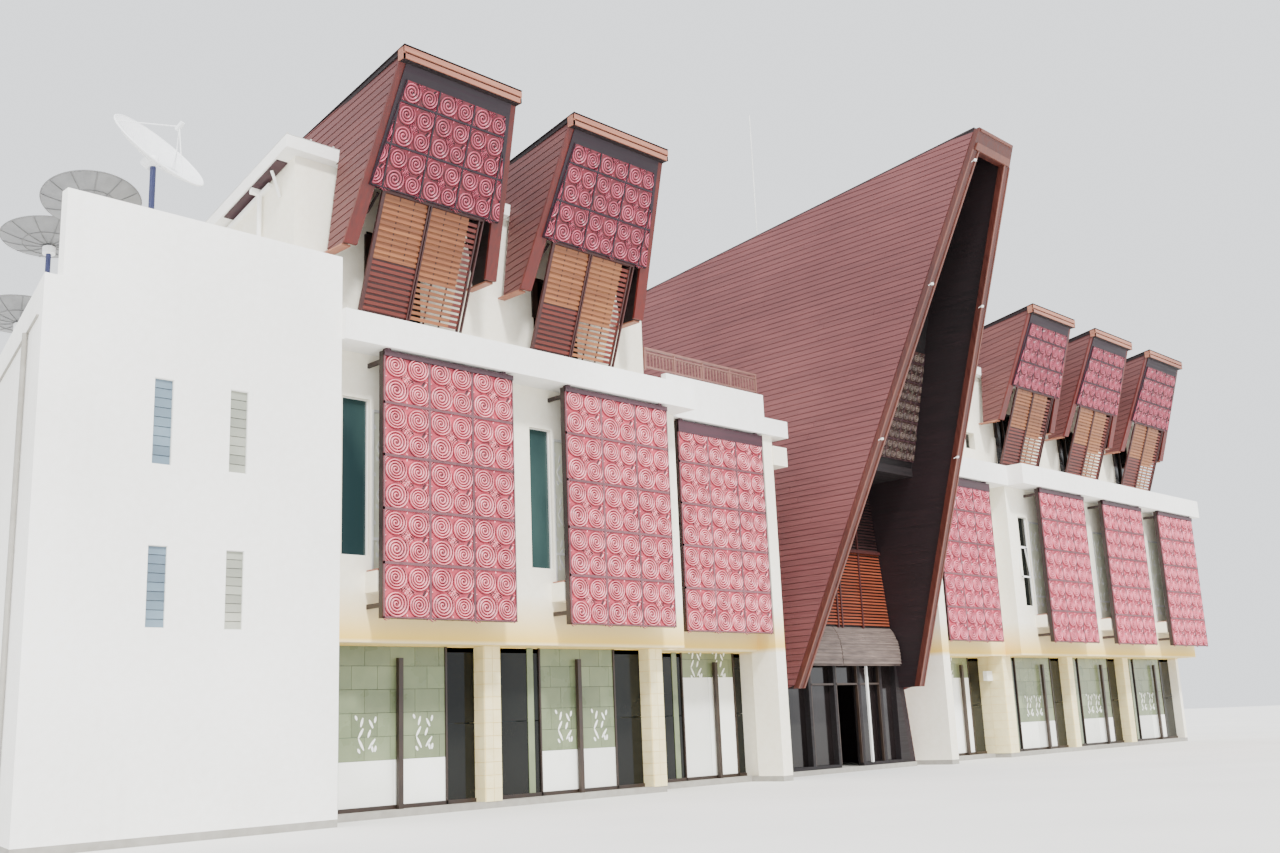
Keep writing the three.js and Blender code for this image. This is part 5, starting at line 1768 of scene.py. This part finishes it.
@dataclass
class DishDetail:
    """Ribs, rim, mast sleeve and feed of a satellite dish."""

    number: int
    centre: Triple
    radius: float
    azimuth: float
    elevation: float
    # White for the dish that faces the front; otherwise grey, as painted shade on a dish seen from below.
    white: bool = False
    feed_reach: float = 0.5
    base: float = 9.8
    depth: float = 0.2
    rib: float = 0.009
    rim: float = 0.022
    mast: float = 0.064
    stay: float = 0.013

    def axes(self) -> tuple[np.ndarray, np.ndarray, np.ndarray]:
        """Two directions across the dish and the one that it aims in.

        Returns:
            The three directions.
        """
        turn, lift = math.radians(self.azimuth), math.radians(self.elevation)
        aim = np.array([math.cos(lift) * math.cos(turn), math.cos(lift) * math.sin(turn), math.sin(lift)])
        level = np.cross([0.0, 0.0, 1.0], aim)
        level /= np.linalg.norm(level)
        return level, np.cross(aim, level), aim

    def at(self, radius: object, angle: object, out: object) -> np.ndarray:
        """Points at a radius and an angle on the bowl, moved out along its axis.

        Args:
            radius: Distances from the middle.
            angle: Angles round it.
            out: Distances out along the axis.

        Returns:
            An array of points.
        """
        first, second, aim = self.axes()
        radius, angle, out = np.broadcast_arrays(radius, angle, out)
        rise = self.depth * self.radius * (radius / self.radius) ** 2 + out
        flat = radius[..., None] * (np.cos(angle)[..., None] * first + np.sin(angle)[..., None] * second)
        return np.array(self.centre) + flat + rise[..., None] * aim

    def build(self) -> None:
        """Builds the dish's pieces."""
        name = f"satellite_dish_{self.number}"
        dress(DISH_WHITE if self.white else SHADED_DISH_GREY, name)
        ribs = Shape()
        reach = np.linspace(0.1, 0.995, 9) * self.radius
        for angle in np.arange(12) * math.pi / 6:
            ribs.tube(self.at(reach, angle, -0.04), self.rib, 6)
        around = np.linspace(0, 2 * math.pi, 49)
        ribs.tube(self.at(self.radius, around, -0.012), self.rim, 6)
        ribs.tube(self.at(self.radius * 0.55, around, -0.04), self.rib, 6)
        ribs.build(f"{name}_ribs", DISH_WHITE if self.white else SHADED_DISH_RIB)
        x, y, z = self.centre
        mast = Shape()
        mast.tube([(x, y, self.base + 0.02), (x, y, z - 0.5), (x, y, z - 0.22)], self.mast, 12)
        mast.boxes(front(y, x), (-0.2, 0.2), (self.base + 0.02, self.base + 0.05), (-0.2, 0.2))
        mast.build(f"{name}_mast", MAST_BLUE)
        feed = Shape()
        focus = self.at(0.0, 0.0, self.feed_reach * self.radius)
        for angle in (0.5, 0.5 + 2 * math.pi / 3, 0.5 + 4 * math.pi / 3):
            foot = self.at(self.radius * 0.93, angle, 0.0)
            feed.tube([foot, foot + (focus - foot) * 0.5, focus], self.stay, 6)
        aim = self.axes()[2]
        feed.tube([focus - 0.1 * aim, focus + 0.02 * aim, focus + 0.12 * aim], 0.055, 10)
        hub = np.array(self.centre) - aim * 0.2
        feed.tube([hub - 0.06 * aim, hub, hub + 0.12 * aim], 0.16, 12)
        feed.build(f"{name}_feed", DISH_WHITE)


@dataclass
class Roofs:
    """The roofs of the two top floors, the open gable on the left, and the terrace railing."""

    front_z: float = 15.1
    slope: float = 0.27
    back_y: float = 10.7
    seam_pitch: float = 0.6
    end_x: float = -19.85
    rafters: tuple[float, ...] = (1.6, 3.4, 5.2, 7.0)
    railing_y: float = 0.765
    railing_x: Pair = (-9.8, -5.2)
    baluster: Pair = (11.1, 11.55)
    baluster_half: float = 0.012
    baluster_pitch: float = 0.13
    ring_z: float = 11.46
    ring: float = 0.045

    def sheet(self, x0: float, x1: float, y0: float) -> Shape:
        """Lays a roof sheet with standing seams down the slope.

        Args:
            x0: Left edge.
            x1: Right edge.
            y0: Depth of the front edge.

        Returns:
            The sheet.
        """
        shape = Shape()
        start = self.front_z - self.slope * (y0 - 1.8)
        plane = Plane((0.0, y0, start), (1.0, 0.0, 0.0), (0.0, 1.0, -self.slope), (0.0, 0.0, 1.0))
        length = self.back_y - y0
        shape.boxes(plane, (x0, x1), (0.0, length), (0.0, 0.02))
        seams = np.arange(x0 + 0.02, x1 - 0.05, self.seam_pitch)
        shape.boxes(plane, (seams, seams + 0.035), (0.0, length), (0.02, 0.06))
        return shape

    def verge_plane(self) -> Plane:
        """A plane on the left end wall whose first axis runs down the roof's slope."""
        origin = (self.end_x, 1.8, self.front_z - 0.3)
        return Plane(origin, (0.0, 1.0, -self.slope), n=(-1.0, 0.0, 0.0))

    def gable(self) -> Shape:
        """Fits a purlin, a few rafters, a strut and a downpipe under the left verge.

        Returns:
            The timbers and pipes.
        """
        shape = Shape()
        x = self.end_x
        shape.boxes(self.verge_plane(), (1.2, 8.6), (-0.2, -0.1), (0.0, 0.1))
        rafters = np.array(self.rafters)
        shape.boxes(self.verge_plane(), (rafters, rafters + 0.1), (-0.14, 0.0), (0.0, 0.3))
        shape.tube([(x - 0.02, 2.6, 13.9), (x - 0.14, 2.6, 14.25), (x - 0.25, 2.6, 14.5)], 0.035, 6)
        shape.tube([(x - 0.09, 3.4, 14.2), (x - 0.09, 3.4, 12.0), (x - 0.09, 3.4, ROOF_SLAB_TOP)], 0.055, 10)
        return shape

    def soffit_shade(self) -> Shape:
        """Paints the shade of the overhang with a dark board between the wall and the verge.

        Returns:
            The board.
        """
        shape = Shape()
        shape.boxes(self.verge_plane(), (0.5, 2.9), (-0.03, 0.0), (0.02, 0.3), vary=0)
        return shape

    def balusters(self) -> Shape:
        """Fills the railing with thin bars and a ring between each pair.

        Returns:
            The bars and rings.
        """
        shape = Shape()
        x = np.arange(*self.railing_x, self.baluster_pitch)
        half = self.baluster_half
        shape.boxes(front(self.railing_y), (x - half, x + half), self.baluster, (-half, half), vary=0.3)
        around = np.linspace(0, 2 * math.pi, 9)
        depth = np.full(9, self.railing_y)
        height = self.ring_z + self.ring * np.sin(around)
        for at in x[:-1] + self.baluster_pitch / 2:
            shape.tube(np.column_stack([at + self.ring * np.cos(around), depth, height]), 0.008, 4)
        return shape

    def build(self) -> None:
        """Builds the pieces."""
        dress(CREAM_WHITE, "left_top_floor_walls", "right_top_floor_walls")
        dress(WHITE, "left_top_floor_roof", "right_top_floor_roof")
        dress(RAILING, "terrace_railing")
        self.sheet(-20.2, -8.475, 1.8).build("left_roof_sheet", ROOF_SHEET)
        self.sheet(4.7, 25.375, 2.42).build("right_roof_sheet", ROOF_SHEET)
        self.gable().build("left_gable_rafters", WHITE)
        self.soffit_shade().build("left_gable_soffit_shade", HEADER_AND_SHADE)
        self.balusters().build("terrace_balusters", RAILING)


@dataclass
class Wings:
    """The two wings, the links and the stair block: finishes, ground floors and plain windows."""

    rear_rows: tuple[Pair, ...] = ((1.2, 2.9), (4.75, 6.3), (7.95, 9.4))
    side_rows: tuple[Pair, ...] = ((3.75, 5.25), (6.75, 8.4))
    left_columns: tuple[float, ...] = (-18.3, -15.6, -12.9, -10.2, -7.5)
    right_columns: tuple[float, ...] = (7.5, 10.3, 13.1, 15.9, 18.7, 21.5, 24.3)
    splay: float = 0.231
    stair_corner: float = -26.0

    def casement(self) -> Shape:
        """Hangs an open white sash from its top edge outside a tall window of the right wing.

        Returns:
            The sash and its arms.
        """
        shape = Shape()
        plane = Plane((10.38, 1.2, 6.47), v=(0.0, 0.12, 1.0))
        rails = np.array([0.0, 1.12])
        shape.boxes(plane, (0.0, 0.66), (rails, rails + 0.05), (0.0, 0.04))
        stiles = np.array([0.0, 0.61])
        shape.boxes(plane, (stiles, stiles + 0.05), (0.0, 1.17), (0.0, 0.04))
        arms = Plane((10.4, 1.2, 7.5), (0.0, 1.0, 0.0), n=(-1.0, 0.0, 0.0))
        shape.boxes(arms, (0.05, 0.2), (0.0, 0.03), (-0.02, 0.0))
        side = Plane((16.1, 1.2, 6.39), (0.16, 0.0, 0.0), (0.0, 0.06, 1.0))
        shape.boxes(side, (0.0, 0.3), (0.0, 1.28), (0.0, 0.04))
        return shape

    def grooves(self) -> Shape:
        """Draws the joints and the downpipe on the stair block's outer side.

        Returns:
            The joint and the pipe.
        """
        shape = Shape()
        run = np.array([self.splay, 1.0, 0.0])
        out = np.array([-1.0, self.splay, 0.0])
        corner = (self.stair_corner, 0.0, 0.0)
        plane = Plane(corner, tuple(run), (0.0, 0.0, 1.0), tuple(out / np.linalg.norm(out)))
        shape.boxes(plane, (0.4, 17.2), (9.3, 9.33), (0.0, 0.04))
        pipe_x = self.stair_corner + self.splay * 1.6 - 0.06
        shape.tube([(pipe_x, 1.6, z) for z in (0.2, 5.0, 9.3)], 0.05, 10)
        return shape

    def box_lamp(self) -> Shape:
        """Sets the small white box on the first pier of the right wing.

        Returns:
            The box.
        """
        shape = Shape()
        shape.boxes(front(2.6), (9.3, 9.68), (2.75, 3.1), (0.0, 0.16))
        return shape

    def build(self) -> None:
        """Builds the pieces of the wings."""
        dress(CONCRETE, "ground_slab")
        dress(WHITE, "left_wing_roof_slab", "right_wing_roof_slab", "left_link", "right_link",
              "left_stair_block")
        dress(CREAM_WHITE, "left_wing_walls", "right_wing_walls")
        dress(SHADED_CREAM, "left_wing_first_floor", "right_wing_first_floor", "left_wing_second_floor",
              "right_wing_second_floor", "left_wing_ground_front", "right_wing_ground_front")
        dress(DARK_GLASS, "left_wing_ground_glass", "right_wing_ground_glass", "left_wing_upper_glass",
              "right_wing_upper_glass")
        GroundFloor("left_wing", LEFT_STRETCHES, LEFT_PIERS).build()
        GroundFloor("right_wing", RIGHT_STRETCHES, RIGHT_PIERS).build()
        self.plain_windows()
        self.casement().build("right_bay_2_casement", WINDOW_FRAME)
        self.grooves().build("stair_side_trim", CONCRETE)
        self.box_lamp().build("right_pier_box", WINDOW_FRAME)

    def plain_windows(self) -> None:
        """Builds the window rows of the rear, the right end and the front of the stair block."""
        rear = back(REAR)
        PlainWindows("left_rear", rear, self.left_columns, 0.6, self.rear_rows).build()
        PlainWindows("right_rear", rear, self.right_columns, 0.6, self.rear_rows).build()
        PlainWindows("stair_rear", rear, (-20.9,), 0.5, self.rear_rows).build()
        end = Plane((25.5, 0.0, 0.0), (0.0, 1.0, 0.0), n=(1.0, 0.0, 0.0))
        PlainWindows("right_end", end, (5.2, 9.3, 13.4), 0.3, self.rear_rows).build()
        for word, x, finish in (("left", -23.7, BLUE_GLASS), ("right", -22.16, GREY_GLASS)):
            PlainWindows(f"stair_front_{word}", front(0.0), (x,), 0.195, self.side_rows, finish,
                         recess=0.04, rim=0.015, blades=9, sill=False).build()


@dataclass(frozen=True)
class Sun:
    """A distant lamp: its strength, the angle that it fills, its turn and its height in degrees."""

    name: str
    energy: float
    angle: float
    turn: float
    height: float


@dataclass
class Studio:
    """The floor, the light and the camera at the photograph's angle."""

    focal_pixels: float = 1315.06
    frame_pixels: float = 1280.0
    yaw: float = 45.893
    pitch: float = 12.776
    roll: float = -2.414
    eye: Triple = (-34.61, -22.94, 1.695)
    sensor: float = 36.0
    suns: tuple[Sun, ...] = (Sun("key", 5.4, 7.0, 18.0, 50.0), Sun("left_fill", 1.6, 60.0, 65.0, 35.0),
                             Sun("right_fill", 0.7, 60.0, -60.0, 30.0))
    surround: Colour = (0.93, 0.96, 1.0)
    surround_strength: float = 1.75
    floor_reach: float = 150.0

    def camera(self) -> None:
        """Aims the camera from its yaw, pitch and roll."""
        yaw, pitch, roll = (math.radians(v) for v in (self.yaw, self.pitch, self.roll))
        ahead = Vector((math.sin(yaw) * math.cos(pitch), math.cos(yaw) * math.cos(pitch), math.sin(pitch)))
        level = Vector((math.cos(yaw), -math.sin(yaw), 0.0))
        up = level.cross(ahead)
        right = math.cos(roll) * level + math.sin(roll) * up
        top = -math.sin(roll) * level + math.cos(roll) * up
        data = bpy.data.cameras.new("camera")
        data.sensor_width = self.sensor
        data.lens = self.focal_pixels * data.sensor_width / self.frame_pixels
        data.clip_end = 500.0
        camera = bpy.data.objects.new("camera", data)
        x, y, z = self.eye
        matrix = Matrix((right, top, -ahead)).transposed().to_4x4()
        matrix.translation = Vector((x, y - DEPTH_ORIGIN, z)) * MODEL_SCALE
        camera.matrix_world = matrix
        bpy.context.scene.collection.objects.link(camera)
        bpy.context.scene.camera = camera

    def light(self) -> None:
        """Sets a soft key light from the front left, a fill on each side and a pale surrounding."""
        for sun in self.suns:
            data = bpy.data.lights.new(sun.name, "SUN")
            data.energy = sun.energy
            data.angle = math.radians(sun.angle)
            lamp = bpy.data.objects.new(sun.name, data)
            lamp.rotation_euler = (math.radians(90 - sun.height), 0.0, -math.radians(sun.turn))
            bpy.context.scene.collection.objects.link(lamp)
        world = bpy.data.worlds.new("surround")
        world.use_nodes = True
        background = world.node_tree.nodes["Background"]
        background.inputs["Color"].default_value = (*self.surround, 1.0)
        background.inputs["Strength"].default_value = self.surround_strength
        bpy.context.scene.world = world

    def floor(self) -> None:
        """Lays a wide pale floor under the building."""
        mesh = bpy.data.meshes.new("floor")
        reach = self.floor_reach
        mesh.from_pydata([(-reach, -reach, 0), (reach, -reach, 0), (reach, reach, 0), (-reach, reach, 0)],
                         [], [(0, 1, 2, 3)])
        material = bpy.data.materials.new("pale_floor")
        nodes = Nodes(material)
        colour = nodes.mix(nodes.spread(nodes.noise(0.4), 0.3, 0.7), (0.70, 0.69, 0.66), (0.76, 0.75, 0.72))
        nodes.feed(nodes.shader.inputs["Base Color"], colour)
        nodes.shader.inputs["Roughness"].default_value = 0.9
        mesh.materials.append(material)
        floor = bpy.data.objects.new("floor", mesh)
        bpy.context.scene.collection.objects.link(floor)

    def build(self) -> None:
        """Builds the studio."""
        self.camera()
        self.light()
        self.floor()


DISHES = (
    DishDetail(1, (-22.73, 3.0, 14.19), 1.12, -67, 41, True, 0.8),
    DishDetail(2, (-22.55, 6.6, 14.23), 1.11, 73, 75),
    DishDetail(3, (-22.11, 10.2, 14.44), 1.16, 80, 83),
    DishDetail(4, (-21.63, 13.2, 13.19), 1.16, 72, 80),
)


def main() -> None:
    """Builds the studio and the building's parts in order."""
    logging.basicConfig(level=logging.INFO, format="%(message)s")
    Studio().build()
    Hall().build()
    Wings().build()
    Roofs().build()
    for bay in BAYS:
        FacadeBay(bay).build()
        if bay.dormer_x is not None:
            Dormer(bay).build()
    for dish in DISHES:
        dish.build()


if __name__ == "__main__":
    main()
